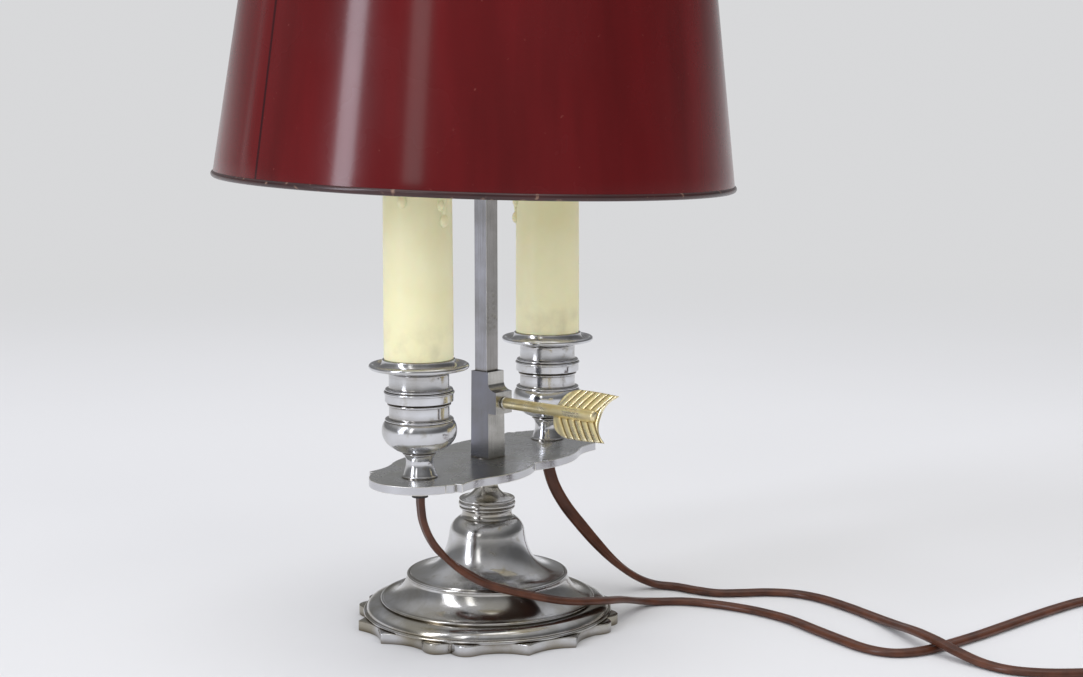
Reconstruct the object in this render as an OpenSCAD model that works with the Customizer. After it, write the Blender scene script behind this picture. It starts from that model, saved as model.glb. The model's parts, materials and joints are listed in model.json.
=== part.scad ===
// Two-light bouillotte lamp: a bell foot carries a fixed square rod, and a bracket with two candle cups
// slides on that rod and is held by an arrow-shaped key. A conical sheet-metal shade sits on the rod's tip.
// The origin is the middle of the foot on the table, +Z is up and +X runs through the right-hand cup.

/* [Base] */
// Radius of the foot at its eight corners
base_r = 54.8; // [52:0.1:62]
// Height of the scalloped rim
rim_h = 4.2; // [3:0.1:8]
// Depth of the hollows in the rim's outline
scallop = 3.8; // [1:0.1:5]
// Radius of the lowest reed, inside the rim
reed_r = 50.4; // [48:0.1:51]
// Radius of the middle reed
step_r = 43.3; // [40:0.1:46]
// Height of the middle reed
step_z = 9.8; // [8:0.1:13]
// Radius of the upper reed, under the bell
shoulder_r = 32.5; // [30:0.1:37]
// Height of the upper reed
shoulder_z = 19.6; // [16:0.1:23]
// Radius of the bell at its top
bell_top_r = 11.4; // [9:0.1:14]
// Height of the bell's top above the table
bell_h = 44.6; // [38:0.1:60]
// Radius of the fine reeds
reed_w = 0.7; // [0.4:0.1:1]
// Thickness of the foot's wall
base_wall = 1.9; // [1.4:0.1:2.6]
// Thickness of the pad that closes the foot
pad_h = 1.5; // [1:0.1:2]
// Turn of the foot against the bracket, in degrees
base_turn = 17.5; // [0:0.5:45]

/* [Neck] */
// Radius of the neck's double ring
neck_r = 11.9; // [10:0.1:14]
// Radius of the neck's waist
neck_waist_r = 4.4; // [4.1:0.1:6]
// Radius of the flange that the bracket rests on
neck_flange_r = 7.6; // [6.8:0.1:10]
// Height of the neck
neck_h = 20.4; // [17:0.1:30]

/* [Rod] */
// Width across the flats of the square rod
rod_w = 6.6; // [5.6:0.1:7]
// Height of the lamp up to the seat of the shade
lamp_h = 306; // [290:1:350]
// Radius of the rod's threaded tail and tip
thread_r = 2.9; // [2.4:0.1:3]
// Length of the threaded tip above the square part
tip_l = 15; // [12:0.5:20]

/* [Arm plate] */
// Distance between the axes of the two cups
cup_gap = 92.8; // [84:0.2:104]
// Radius of the plate's round ends
lobe_r = 19.8; // [17:0.1:23]
// Distance of the plate's corners beyond the cup axes, along the plate
corner_in = 3; // [0:0.1:8]
// Half width of the plate at its corners
corner_y = 22.4; // [20:0.1:24]
// Half width of the plate at its swelling
swell_y = 27.4; // [25:0.1:30]
// Half width of the plate at its middle cusp
cusp_y = 23.6; // [22:0.1:24.8]
// Thickness of the plate
plate_t = 3.3; // [2.4:0.1:4]

/* [Socket block] */
// Height of the square socket block
block_h = 35.8; // [32:0.1:45]
// Width of the block at the plate
block_w = 9.8; // [9.7:0.1:11]
// How much narrower the block is at its top
block_draft = 0.5; // [0:0.1:0.6]
// Turn of the rod, the block and the key against the plate, in degrees
block_turn = -9; // [-15:1:15]
// Height of the key's axis above the plate
key_z = 23.4; // [16:0.1:26]
// Height of the screw boss
boss_h = 9; // [7:0.1:12]
// How far the boss stands out of the block
boss_out = 4.1; // [2.4:0.1:5]
// Gap between the rod and the block's square hole, on each side
slide_gap = 0.1; // [0.05:0.01:0.2]

/* [Arrow key] */
// Radius of the clamp screw's shank
screw_r = 2; // [1.6:0.1:2.3]
// Radius of the screw's round collar
collar_r = 2.4; // [2.2:0.1:3.4]
// Length of the collar
collar_l = 0.8; // [0.6:0.1:3]
// Thickness of the brass pad between screw and rod
pad_t = 1.6; // [1:0.1:2]
// Radius of the arrow's shaft at the screw
arrow_r = 2.25; // [1.8:0.05:2.4]
// Radius of the arrow's shaft at its tail
arrow_tail_r = 2.4; // [2:0.05:2.8]
// Length of the arrow's shaft
arrow_l = 47.7; // [42:0.1:52]
// Half height of the arrow's flight
flight_w = 10.2; // [8:0.1:13]
// Length of the flight along the shaft, at the shaft
flight_l = 23.2; // [18:0.1:26]
// Thickness of the flight
flight_t = 1.5; // [1:0.1:2.2]
// Turn of the flight from upright, in degrees
arrow_roll = 27; // [0:1:180]
// Running clearance of the screw and pad in the boss
run_gap = 0.05; // [0.02:0.01:0.1]

/* [Candle cups] */
// Height of a cup from the plate to the edge of its drip pan
cup_h = 44.4; // [42:0.1:50]
// Radius of the drip pan
pan_r = 19.5; // [17:0.1:23]
// Radius of the cup's plain neck
cup_neck_r = 11.7; // [11.5:0.1:12.6]
// Radius of the beaded band
band_r = 13.3; // [12.8:0.1:15]
// Radius of the sharp ring over the bowl
cup_ring_r = 13.3; // [12.8:0.1:14]
// Radius of the bowl
bowl_r = 14.6; // [14.2:0.1:17]
// Radius of the stem at its thinnest
stem_r = 5.3; // [4.7:0.1:6]
// Radius of the cup's foot
foot_r = 7; // [6.6:0.1:9]
// Radius of the bore that the flex runs in
wire_r = 2.9; // [2.4:0.1:3.1]
// Radius of the threaded spigot below the plate
spigot_r = 4; // [3.6:0.1:4.4]

/* [Candle tubes] */
// Outside radius of a tube at its foot
tube_r = 13.5; // [13.2:0.1:13.8]
// Wall of the tube
tube_wall = 1.2; // [0.8:0.1:1.4]
// Height of the tube
tube_h = 71.7; // [66:0.1:85]
// How much narrower the tube is at its top, in radius
tube_draft = 0.3; // [0:0.05:0.5]
// Radius of the lampholder
holder_r = 11.7; // [10.8:0.1:11.8]
// Radius of the lamp cap
cap_r = 6.9; // [6.5:0.1:7]
// Radius of the bulb
bulb_r = 17.5; // [15:0.1:18]
// Height of the bulb above its cap
bulb_h = 72; // [60:0.5:74]
// Thickness of the bulb's glass
glass_t = 0.9; // [0.6:0.1:1.4]

/* [Shade] */
// Radius of the shade's lower edge
shade_r = 103.4; // [98:0.1:115]
// Radius of the shade's upper edge
shade_top_r = 86; // [82:0.1:95]
// Height of the shade
shade_h = 130; // [115:0.5:135]
// Thickness of the sheet
sheet_t = 0.8; // [0.5:0.05:1.2]
// Radius of the rolled edges
edge_r = 1.3; // [0.9:0.05:1.8]
// Lean of the shade on its seat, in degrees
shade_lean = 1.9; // [0:0.1:2.5]
// Radius of the shade carrier's hub
hub_r = 7.5; // [6:0.1:9]
// Height of the shade carrier's hub
hub_h = 5; // [3.5:0.1:6]

/* [Flex] */
// Width of the flat twin flex
flex_w = 5.2; // [4.4:0.1:5.4]
// Thickness of the flat twin flex
flex_t = 2.7; // [2.2:0.1:2.7]
// Diameter of the round mains lead
lead_d = 5.2; // [4.8:0.1:5.2]

/* [Hidden] */
$fn = 64;
eps = 0.01;

// Heights, from the table up
plate_z = bell_h + neck_h;
plate_top = plate_z + plate_t;
key_axis = plate_top + key_z;
pan_z = plate_top + cup_h;
rod_top = lamp_h;
rod_l = lamp_h - plate_z;
seat_t = 1.5;
hub_z = rod_top + seat_t;
shade_pivot = hub_z + hub_h / 2;
shade_top_z = hub_z + hub_h - 1;
shade_z = shade_top_z - shade_h;
lean_to = -57.5;

// Across the bracket
cup_x = cup_gap / 2;
corner_x = cup_x + corner_in;
block_spigot_r = rod_w * 0.707 + 0.95;
block_shift = 0.6;
boss_face = block_w / 2 + block_shift + boss_out;
pad_face = rod_w / 2 + 0.02;
screw_tip = pad_face + pad_t;
arrow_y = boss_face + 0.3 + collar_l;
bore_r = screw_r + run_gap;

// Candle tube and lampholder
collar_top = pan_z + 2;
tube_seat = collar_top;
nipple_r = 4.9;
cup_floor_z = pan_z - 12.4;
cup_cavity_r = 9.4;
lock_nut_r = 8;
lock_nut_h = 2.4;
nipple_bore_r = 3.2;
nipple_z0 = pan_z - 20.2;
nipple_l = 57;
holder_z = nipple_z0 + nipple_l - 4;
holder_h = tube_seat + tube_h - 2 - holder_z;
cap_z = holder_z + 12;
glass_z = tube_seat + tube_h - 2.6;

// Fastenings under the foot and the plate
tail_l = neck_h + bell_h - 32.5;
nut_h = 5;
washer_t = 1.4;
bell_seat = bell_h - 5;
cup_nut_r = 7.4;
cup_nut_h = 3;
spigot_l = 3.8;
bush_r = 3.2;
bush_t = 1;

// Curves for profiles
function arc(c, r, a0, a1, n = 6) =
    [for (i = [0:n]) let (a = a0 + (a1 - a0) * i / n) c + r * [cos(a), sin(a)]];
function bez(p, q, r, s, n = 8) =
    [for (i = [0:n]) let (t = i / n, u = 1 - t)
        u * u * u * p + 3 * u * u * t * q + 3 * u * t * t * r + t * t * t * s];
function flip_x(points) = [for (i = [len(points) - 1:-1:0]) [-points[i][0], points[i][1]]];
function flip_y(points) = [for (i = [len(points) - 1:-1:0]) [points[i][0], -points[i][1]]];

// ---- Foot ----

// Radius of the rim's outline at an angle from the middle of a long scallop: an inward cusp, a swelling,
// a hollow, then a sharp corner and the short hollow between two corners.
rim_corner = 33.8;
rim_swell = 14;
function rim_hollow(u) = let (v = 1 - u, low = base_r - scallop - 2.4)
    v * v * v * (base_r - 4.2) + 3 * v * v * u * low + 3 * v * u * u * low + u * u * u * base_r;
function rim_radius(a) = a < rim_swell ? base_r - 4.2 + 3.6 * sin(180 * a / rim_swell)
    : a < rim_corner ? rim_hollow((a - rim_swell) / (rim_corner - rim_swell))
    : base_r - scallop * (1 - pow((a - 45) / (45 - rim_corner), 2));
rim_angles = concat([for (i = [0:5]) i * rim_swell / 6],
    [for (i = [0:5]) rim_swell + i * (rim_corner - rim_swell) / 6],
    [for (i = [0:2]) rim_corner + i * (45 - rim_corner) / 3]);
rim_eighth = concat([for (a = rim_angles) [a, rim_radius(a)]], [[45, rim_radius(45)]]);
rim_quarter = concat(rim_eighth, [for (i = [len(rim_eighth) - 2:-1:1]) [90 - rim_eighth[i][0], rim_eighth[i][1]]]);

module rim_outline(inset) {
    polygon([for (k = [0:3]) for (p = rim_quarter)
        (p[1] - inset) * [cos(p[0] + 90 * k), sin(p[0] + 90 * k)]]);
}

reed_z = rim_h + 0.5;
low_reed = [-60, 100];
step_reed = [-10, 150];
shoulder_reed = [-20, 140];
bell_profile = concat(
    [[0, reed_z - 1.2], [reed_r - 1, reed_z - 1.2]],
    arc([reed_r, reed_z], reed_w, low_reed[0], low_reed[1]),
    bez([reed_r - 0.5, reed_z + 0.8], [reed_r - 0.6, step_z - 1.6], [step_r + 3, step_z - 0.7],
        [step_r + 0.6, step_z - 0.6]),
    arc([step_r, step_z], reed_w, step_reed[0], step_reed[1], 5),
    bez([step_r - 1, step_z + 0.3], [step_r - 6.4, step_z + 1.4], [shoulder_r + 1.5, shoulder_z - 4.8],
        [shoulder_r + 0.5, shoulder_z - 0.8]),
    arc([shoulder_r, shoulder_z], reed_w, shoulder_reed[0], shoulder_reed[1], 5),
    bez([shoulder_r - 0.9, shoulder_z + 1], [shoulder_r - 12, shoulder_z + 1.8],
        [bell_top_r + 5.8, bell_h - 17.1], [bell_top_r + 4.8, bell_h - 7.1], 10),
    bez([bell_top_r + 4.5, bell_h - 4.6], [bell_top_r + 3.8, bell_h - 1.6],
        [bell_top_r + 1.6, bell_h - 0.4], [bell_top_r, bell_h], 5),
    [[0, bell_h]]);
bell_hollow = [[0, -1], [reed_r - 2.6, -1], [reed_r - 2.6, rim_h - 1.4], [step_r - 1.6, step_z - 2.6],
    [shoulder_r + 1.4, shoulder_z - 6.6], [shoulder_r - 1.2, shoulder_z - base_wall],
    [shoulder_r - 11.5, shoulder_z - 0.2], [bell_top_r + 5.2, bell_h - 19], [bell_top_r + 2.6, bell_seat],
    [0, bell_seat]];

module base_bell() {
    color("silver") rotate([0, 0, base_turn]) difference() {
        union() {
            rotate_extrude($fn = 96) polygon(bell_profile);
            linear_extrude(rim_h) rim_outline(0);
        }
        translate([0, 0, -1]) linear_extrude(rim_h - 0.6) rim_outline(base_wall);
        rotate_extrude($fn = 96) polygon(bell_hollow);
        cylinder(r = thread_r + 0.1, h = bell_h + 1);
    }
}

module base_pad() {
    color("darkgreen") rotate([0, 0, base_turn]) linear_extrude(pad_h) rim_outline(base_wall + 0.05);
}

module base_washer() {
    color("gray") translate([0, 0, bell_seat - washer_t]) difference() {
        cylinder(r = 9, h = washer_t);
        translate([0, 0, -1]) cylinder(r = thread_r + 0.1, h = washer_t + 2);
    }
}

module base_nut() {
    color("gray") translate([0, 0, bell_seat - washer_t - nut_h]) difference() {
        cylinder(r = 5.8, h = nut_h, $fn = 6);
        translate([0, 0, -1]) cylinder(r = thread_r + 0.05, h = nut_h + 2);
    }
}

// ---- Neck and rod ----

neck_low = bell_h + 0.4;
ring_fine = 0.65;
ring_wide = 1.3;
neck_profile = concat(
    [[0, bell_h], [bell_top_r - 0.6, bell_h]],
    bez([bell_top_r - 1, bell_h + 0.5], [bell_top_r - 1.5, neck_low + 0.9], [neck_r - 1.6, neck_low + 2],
        [neck_r - 0.8, neck_low + 2.5], 4),
    arc([neck_r - ring_fine - 0.15, neck_low + 3.1], ring_fine, -60, 60, 5),
    arc([neck_r - ring_wide, neck_low + 5.1], ring_wide, -60, 60, 6),
    arc([neck_r - ring_fine - 0.45, neck_low + 6.8], ring_fine, -50, 90, 5),
    bez([neck_r - 1.8, neck_low + 7.5], [neck_waist_r + 2.2, neck_low + 7.9],
        [neck_waist_r, neck_low + 9.4], [neck_waist_r, neck_low + 12], 8),
    bez([neck_waist_r, plate_z - 7], [neck_waist_r, plate_z - 4.6], [neck_flange_r - 2, plate_z - 3.2],
        [neck_flange_r - 0.6, plate_z - 2.8], 5),
    [[neck_flange_r, plate_z - 2.4], [neck_flange_r, plate_z], [0, plate_z]]);

module neck_collar() {
    color("silver") difference() {
        rotate_extrude() polygon(neck_profile);
        translate([0, 0, bell_h - 1]) cylinder(r = thread_r + 0.1, h = neck_h + 2);
    }
}

module rod() {
    color("silver") union() {
        rotate([0, 0, block_turn]) translate([-rod_w / 2, -rod_w / 2, plate_z]) cube([rod_w, rod_w, rod_l]);
        translate([0, 0, plate_z - tail_l]) cylinder(r = thread_r, h = tail_l + 1);
        translate([0, 0, rod_top - 1]) cylinder(r = thread_r, h = tip_l + 1);
    }
}

// ---- Bracket ----

// One quarter of the plate: the middle cusp, the swelling, a shallow hollow to the corner, an ear between
// two nicks, and the round end about the cup's axis.
swell_x = 17;
swell_r = (pow(swell_x, 2) + pow(swell_y - cusp_y, 2)) / (2 * (swell_y - cusp_y));
swell_c = [swell_x, swell_y - swell_r];
swell_start = 90 + asin(swell_x / swell_r);
swell_end = 90 - asin(14 / swell_r);
swell_last = swell_c + swell_r * [cos(swell_end), sin(swell_end)];
ear_l = 4;
ear_start = corner_in + 0.8;
ear_end = ear_start + ear_l;
function off_lobe(x, out) = [cup_x + x, sqrt(pow(lobe_r, 2) - pow(x, 2)) + out];
plate_quarter = concat(
    arc(swell_c, swell_r, swell_start, swell_end, 9),
    bez(swell_last, [swell_last[0] + 6, swell_last[1] - 3], [corner_x - 7, corner_y - 1.4],
        [corner_x, corner_y], 6),
    bez(off_lobe(ear_start, -0.1), off_lobe(ear_start + 0.8, 1.5), off_lobe(ear_end - 0.8, 1.3),
        off_lobe(ear_end, -0.4), 5),
    arc([cup_x, 0], lobe_r, 90 - asin((ear_end + 0.4) / lobe_r), 0, 13));
plate_half = concat(flip_x(plate_quarter), [for (i = [1:len(plate_quarter) - 1]) plate_quarter[i]]);
plate_low = flip_y(plate_half);
plate_outline = concat(plate_half, [for (i = [1:len(plate_low) - 2]) plate_low[i]]);

module arm_plate() {
    color("silver") translate([0, 0, plate_z]) difference() {
        linear_extrude(plate_t) polygon(plate_outline);
        translate([0, 0, -1]) cylinder(r = block_spigot_r + 0.05, h = plate_t + 2);
        for (side = [-1, 1]) translate([side * cup_x, 0, -1])
            cylinder(r = spigot_r + 0.05, h = plate_t + 2);
    }
}

// The block is the crossing of a front view, which narrows to the top, and a side view with the boss. It
// stands a little off the rod's middle, towards the screw, and the boss has a hollow curve on its upper side.
boss_half = boss_h / 2;
boss_cove = 3;
block_top = block_w - block_draft;
function front_at(z) = block_w / 2 + block_shift - block_draft / 2 * z / block_h;
block_front = [[-block_w / 2, 0], [block_w / 2, 0], [block_top / 2, block_h], [-block_top / 2, block_h]];
cove_z = key_z + boss_half;
cove_x = front_at(cove_z + boss_cove);
block_side = concat(
    [[block_shift - block_w / 2, 0], [front_at(0), 0], [front_at(key_z - boss_half), key_z - boss_half],
        [boss_face, key_z - boss_half]],
    bez([boss_face, cove_z], [boss_face - 2.4, cove_z + 0.2], [cove_x + 0.4, cove_z + 1],
        [cove_x, cove_z + boss_cove], 6),
    [[front_at(block_h), block_h], [block_shift - block_top / 2, block_h]]);

module socket_block() {
    hole = rod_w + 2 * slide_gap;
    color("silver") rotate([0, 0, block_turn]) difference() {
        union() {
            translate([0, 0, plate_top]) intersection() {
                translate([0, block_w, 0]) rotate([90, 0, 0]) linear_extrude(3 * block_w) polygon(block_front);
                translate([block_w, 0, 0]) rotate([90, 0, -90]) linear_extrude(2 * block_w)
                    polygon(block_side);
            }
            translate([0, 0, plate_z]) cylinder(r = block_spigot_r, h = plate_t + 0.2);
        }
        translate([-hole / 2, -hole / 2, plate_z - 1]) cube([hole, hole, block_h + plate_t + 2]);
        translate([0, 0, key_axis]) rotate([90, 0, 0]) cylinder(r = bore_r, h = boss_face + 1);
    }
}

// Places a shape drawn along +Z so that it runs out along the key's axis, from a distance off the rod
module on_key(distance) {
    rotate([0, 0, block_turn]) translate([0, -distance, key_axis]) rotate([90, 0, 0]) children();
}

module clamp_pad() {
    color("goldenrod") on_key(pad_face) cylinder(r = screw_r, h = pad_t);
}

module clamp_screw() {
    color("silver") union() {
        on_key(screw_tip) cylinder(r = screw_r, h = arrow_y - screw_tip - collar_l + 0.5);
        on_key(arrow_y - collar_l) rotate_extrude() polygon([[0, 0], [collar_r - 0.2, 0],
            [collar_r, 0.2], [collar_r, collar_l - 0.2], [collar_r - 0.2, collar_l], [0, collar_l]]);
        on_key(arrow_y - 0.5) cylinder(r = 1.2, h = 6.5);
    }
}

// Outline of one half of the flight, along the shaft and out from it
flight_x0 = arrow_l - flight_l + 1.2;
flight_x1 = arrow_l + 1.2;
tip_x = flight_x1 + 5.7;
flight_half = concat([[flight_x0, 0]],
    bez([flight_x0, 1.5], [flight_x0 + 1, 0.62 * flight_w], [flight_x0 + 3.4, 0.93 * flight_w],
        [flight_x0 + 10.5, 0.98 * flight_w], 8),
    bez([flight_x0 + 14, flight_w], [flight_x0 + 18, 1.02 * flight_w], [flight_x0 + 24, flight_w],
        [tip_x, 0.95 * flight_w], 4),
    bez([tip_x - 0.8, 0.88 * flight_w], [tip_x - 4, 0.66 * flight_w], [flight_x1 + 0.4, 0.45 * flight_w],
        [flight_x1, 0.18 * flight_w], 5),
    [[flight_x1, 0]]);
barb_pitch = flight_l / 7;
barb_w = 0.5;
barb_slant = 50;
flight_back = 1;

module flight() {
    difference() {
        translate([0, 0, -flight_t / 2]) linear_extrude(flight_t)
            polygon(concat(flight_half, flip_y(flight_half)));
        for (face = [-1, 1], side = [-1, 1], i = [0:6])
            translate([flight_x0 + barb_pitch * (i + 0.1), 0, face * flight_t / 2])
                rotate([0, 0, side * barb_slant]) rotate([45, 0, 0]) translate([0, -barb_w / 2, -barb_w / 2])
                    cube([2 * flight_w, barb_w, barb_w]);
    }
}

module arrow_key() {
    shaft = [[0, 0], [arrow_r - 0.2, 0], [arrow_r, 0.3], [arrow_tail_r, arrow_l - 0.6],
        [arrow_tail_r - 0.5, arrow_l], [0, arrow_l]];
    color("gold") on_key(arrow_y) rotate([0, 0, -arrow_roll]) difference() {
        union() {
            rotate_extrude() polygon(shaft);
            translate([flight_back, 0, 0]) rotate([0, -90, 0]) flight();
        }
        translate([0, 0, -1]) cylinder(r = 1.25, h = 8);
    }
}

// ---- Candle cups ----

cup_bead = 0.5;
bead_arc = [-60, 85];
pan_edge = 1;
pan_arc = [-70, 125];
cup_profile = concat(
    [[0, plate_z - spigot_l], [spigot_r, plate_z - spigot_l], [spigot_r, plate_top], [foot_r, plate_top]],
    [[foot_r, plate_top + 0.7]],
    bez([foot_r - 0.4, plate_top + 1.1], [stem_r + 0.9, plate_top + 2.2], [stem_r, plate_top + 4],
        [stem_r, plate_top + 5.8], 6),
    bez([stem_r, plate_top + 6.4], [stem_r + 0.1, plate_top + 7.6], [stem_r + 0.4, plate_top + 8.4],
        [stem_r + 0.9, plate_top + 9], 4),
    [[stem_r + 1.3, plate_top + 9.3], [stem_r + 1.2, plate_top + 9.8]],
    bez([stem_r + 1.9, plate_top + 10.2], [bowl_r - 3.2, plate_top + 11.6], [bowl_r, plate_top + 14.6],
        [bowl_r, plate_top + 18.2], 9),
    bez([bowl_r, plate_top + 19], [bowl_r - 0.1, plate_top + 20.6], [cup_ring_r + 0.6, plate_top + 21.6],
        [cup_ring_r, plate_top + 22.2], 5),
    arc([cup_ring_r - 0.45, plate_top + 22.9], cup_bead, bead_arc[0], bead_arc[1], 4),
    [[cup_neck_r, plate_top + 23.6], [cup_neck_r, pan_z - 16.2], [cup_neck_r + 0.6, pan_z - 15.9],
        [cup_neck_r + 0.6, pan_z - 15.1], [cup_neck_r + 0.2, pan_z - 14.9]],
    [[band_r - 0.3, pan_z - 14.6], [band_r, pan_z - 14.1], [band_r, pan_z - 11.6]],
    arc([band_r - 0.4, pan_z - 10.9], cup_bead, bead_arc[0], bead_arc[1], 4),
    [[band_r - 0.6, pan_z - 10.2], [band_r - 0.4, pan_z - 9.8], [cup_neck_r + 0.2, pan_z - 9.2],
        [cup_neck_r, pan_z - 8.8], [cup_neck_r, pan_z - 4.4]],
    bez([cup_neck_r, pan_z - 3.8], [cup_neck_r + 0.4, pan_z - 2.6], [pan_r - 5, pan_z - 2.8],
        [pan_r - 2.4, pan_z - 2.1], 6),
    arc([pan_r - pan_edge, pan_z - 0.8], pan_edge, pan_arc[0], pan_arc[1], 8),
    [[pan_r - 2.2, pan_z - 0.2], [pan_r - 2.6, pan_z - 0.7], [tube_r + 2, pan_z - 0.6],
        [tube_r + 0.9, pan_z + 0.5], [tube_r + 0.4, collar_top], [0, collar_top]]);

module cup(side) {
    color("silver") translate([side * cup_x, 0, 0]) difference() {
        rotate_extrude() polygon(cup_profile);
        translate([0, 0, plate_z - spigot_l - 1]) cylinder(r = wire_r, h = cup_h);
        translate([0, 0, nipple_z0]) cylinder(r = nipple_r + 0.05, h = nipple_l);
        translate([0, 0, cup_floor_z]) cylinder(r = cup_cavity_r, h = nipple_l);
        translate([0, 0, pan_z - 1.6]) cylinder(r = tube_r - tube_wall - 0.6, h = nipple_l);
    }
}
module cup_left() { cup(-1); }
module cup_right() { cup(1); }

module both_sides() {
    for (side = [-1, 1]) translate([side * cup_x, 0, 0]) children();
}

module cup_nuts() {
    color("gray") both_sides() translate([0, 0, plate_z - cup_nut_h]) difference() {
        cylinder(r = cup_nut_r, h = cup_nut_h, $fn = 6);
        translate([0, 0, -1]) cylinder(r = spigot_r + 0.05, h = cup_nut_h + 2);
    }
}

// Flanged bush at the mouth of each wire bore, with a flat slot turned the way that the flex faces
bush_z = plate_z - spigot_l - bush_t;
bush_stem = 3;
flex_turns = [-33.5, 212.5];
module flex_bushes() {
    slot_t = flex_t - 0.8;
    slot_w = flex_w - 1.2;
    color("dimgray") for (k = [0, 1]) translate([(2 * k - 1) * cup_x, 0, bush_z]) difference() {
        union() {
            cylinder(r = bush_r, h = bush_t);
            cylinder(r = wire_r - 0.05, h = bush_t + bush_stem);
        }
        rotate([0, 0, flex_turns[k]]) translate([-slot_t / 2, -slot_w / 2, -1])
            cube([slot_t, slot_w, bush_t + bush_stem + 2]);
    }
}

module nipples() {
    color("gray") both_sides() difference() {
        union() {
            translate([0, 0, nipple_z0]) cylinder(r = nipple_r, h = nipple_l);
            translate([0, 0, cup_floor_z]) cylinder(r = lock_nut_r, h = lock_nut_h, $fn = 6);
        }
        translate([0, 0, nipple_z0 - 1]) cylinder(r = nipple_bore_r, h = nipple_l + 2);
    }
}

holder_socket = 6;
holder_foot_r = 7.6;
holder_grip_r = 8.6;
holder_grip_h = 7;
module lampholders() {
    body = [[0, 0], [holder_foot_r, 0], [holder_grip_r, 1.4], [holder_grip_r, holder_grip_h],
        [holder_r, holder_grip_h + 3.4], [holder_r, holder_h - 1], [holder_r - 0.6, holder_h], [0, holder_h]];
    color("ivory") both_sides() translate([0, 0, holder_z]) difference() {
        rotate_extrude() polygon(body);
        translate([0, 0, -1]) cylinder(r = nipple_r + 0.05, h = holder_socket + 1);
        translate([0, 0, holder_socket - 2]) cylinder(r = nipple_bore_r, h = cap_z - holder_z);
        translate([0, 0, cap_z - holder_z]) cylinder(r = cap_r + 0.9, h = holder_h);
    }
}

// Screw shell and sprung centre tongue of each lampholder
module holder_contacts() {
    deep = holder_z + holder_h - 4 - cap_z;
    color("goldenrod") both_sides() union() {
        translate([0, 0, cap_z]) difference() {
            cylinder(r = cap_r + 0.85, h = deep);
            translate([0, 0, 0.6]) cylinder(r = cap_r + 0.1, h = deep);
        }
        translate([-1.6, -3, cap_z + 0.3]) cube([3.2, 6, 1.2]);
    }
}

module bulb_caps() {
    cap_l = glass_z - cap_z - 1.5;
    color("lightgray") both_sides() translate([0, 0, cap_z + 1.5]) rotate_extrude()
        polygon([[0, 0], [2, 0], [2.4, 0.8], [cap_r - 1.4, 2.6], [cap_r, 3.6], [cap_r, cap_l], [0, cap_l]]);
}

// A blown bulb, open at its neck
function bulb_curve(r, h) = concat(
    bez([cap_r + 0.2 + r - bulb_r, 1.6], [cap_r + 2 + r - bulb_r, 8], [r, 10], [r, 0.32 * bulb_h], 8),
    bez([r, 0.36 * bulb_h], [r, 0.66 * bulb_h], [7 + r - bulb_r, 0.8 * bulb_h], [2.4, 0.985 * h], 10));
module bulb(side) {
    inner = bulb_curve(bulb_r - glass_t, bulb_h - 1.4 * glass_t);
    color("lightyellow") translate([side * cup_x, 0, glass_z]) rotate_extrude()
        polygon(concat([[cap_r - 0.3 - glass_t, 0], [cap_r - 0.3, 0]], bulb_curve(bulb_r, bulb_h),
            [[1.2, bulb_h], [0, bulb_h], [0, bulb_h - 1.4 * glass_t]],
            [for (i = [len(inner) - 1:-1:0]) inner[i]]));
}
module bulb_left() { bulb(-1); }
module bulb_right() { bulb(1); }

// Candle tube with drips of wax: each drip is its angle, its length and the radius of its bead
drips_left = [[-171, 8.4, 1.9], [-105, 9, 1.5], [-97, 15.5, 1.7], [60, 11, 1.7], [-20, 6, 1.5]];
drips_right = [[130, 13, 1.9], [137, 5, 1.5], [-55, 5.5, 1.2], [-10, 9, 1.7], [35, 12, 1.6]];
module candle_tube(side, drips) {
    top_r = tube_r - tube_draft;
    color("beige") translate([side * cup_x, 0, tube_seat]) difference() {
        union() {
            rotate_extrude() polygon([[0, 0], [tube_r, 0], [top_r, tube_h - 0.6], [top_r - 0.5, tube_h],
                [0, tube_h]]);
            for (d = drips) rotate([0, 0, d[0]]) translate([top_r - 0.5, 0, 0]) {
                translate([0, 0, tube_h - d[1]]) sphere(r = d[2], $fn = 24);
                translate([0, 0, tube_h - d[1]]) cylinder(r = d[2] * 0.72, h = d[1] - 0.4, $fn = 24);
                translate([0, 0, tube_h - 0.9]) sphere(r = 1.3, $fn = 24);
            }
        }
        translate([0, 0, -1]) cylinder(r = tube_r - tube_wall, h = 6);
        translate([0, 0, 4]) cylinder(r = top_r - tube_wall, h = tube_h + 2);
    }
}
module tube_left() { candle_tube(-1, drips_left); }
module tube_right() { candle_tube(1, drips_right); }

// ---- Shade ----

module leaning() {
    translate([0, 0, shade_pivot]) rotate([0, 0, lean_to]) rotate([0, shade_lean, 0])
        rotate([0, 0, -lean_to]) translate([0, 0, -shade_pivot]) children();
}

wall_slope = (shade_r - shade_top_r) / shade_h;
seam_turn = 158;
module shade_skin() {
    half = sheet_t / 2;
    outer = [[shade_r + half, shade_z], [shade_top_r + half, shade_top_z],
        [shade_top_r - half, shade_top_z], [shade_r - half, shade_z]];
    color("darkred") leaning() union() {
        rotate_extrude($fn = 128) polygon(outer);
        rotate_extrude($fn = 128) translate([shade_r, shade_z]) circle(r = edge_r, $fn = 16);
        rotate_extrude($fn = 128) translate([shade_top_r, shade_top_z]) circle(r = edge_r, $fn = 16);
        rotate([0, 0, seam_turn]) rotate_extrude(angle = 4, $fn = 128) polygon([
            [shade_r, shade_z + 0.5], [shade_r + half + 0.35, shade_z + 0.5],
            [shade_top_r + half + 0.35, shade_top_z - 0.5], [shade_top_r, shade_top_z - 0.5]]);
    }
}

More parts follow.
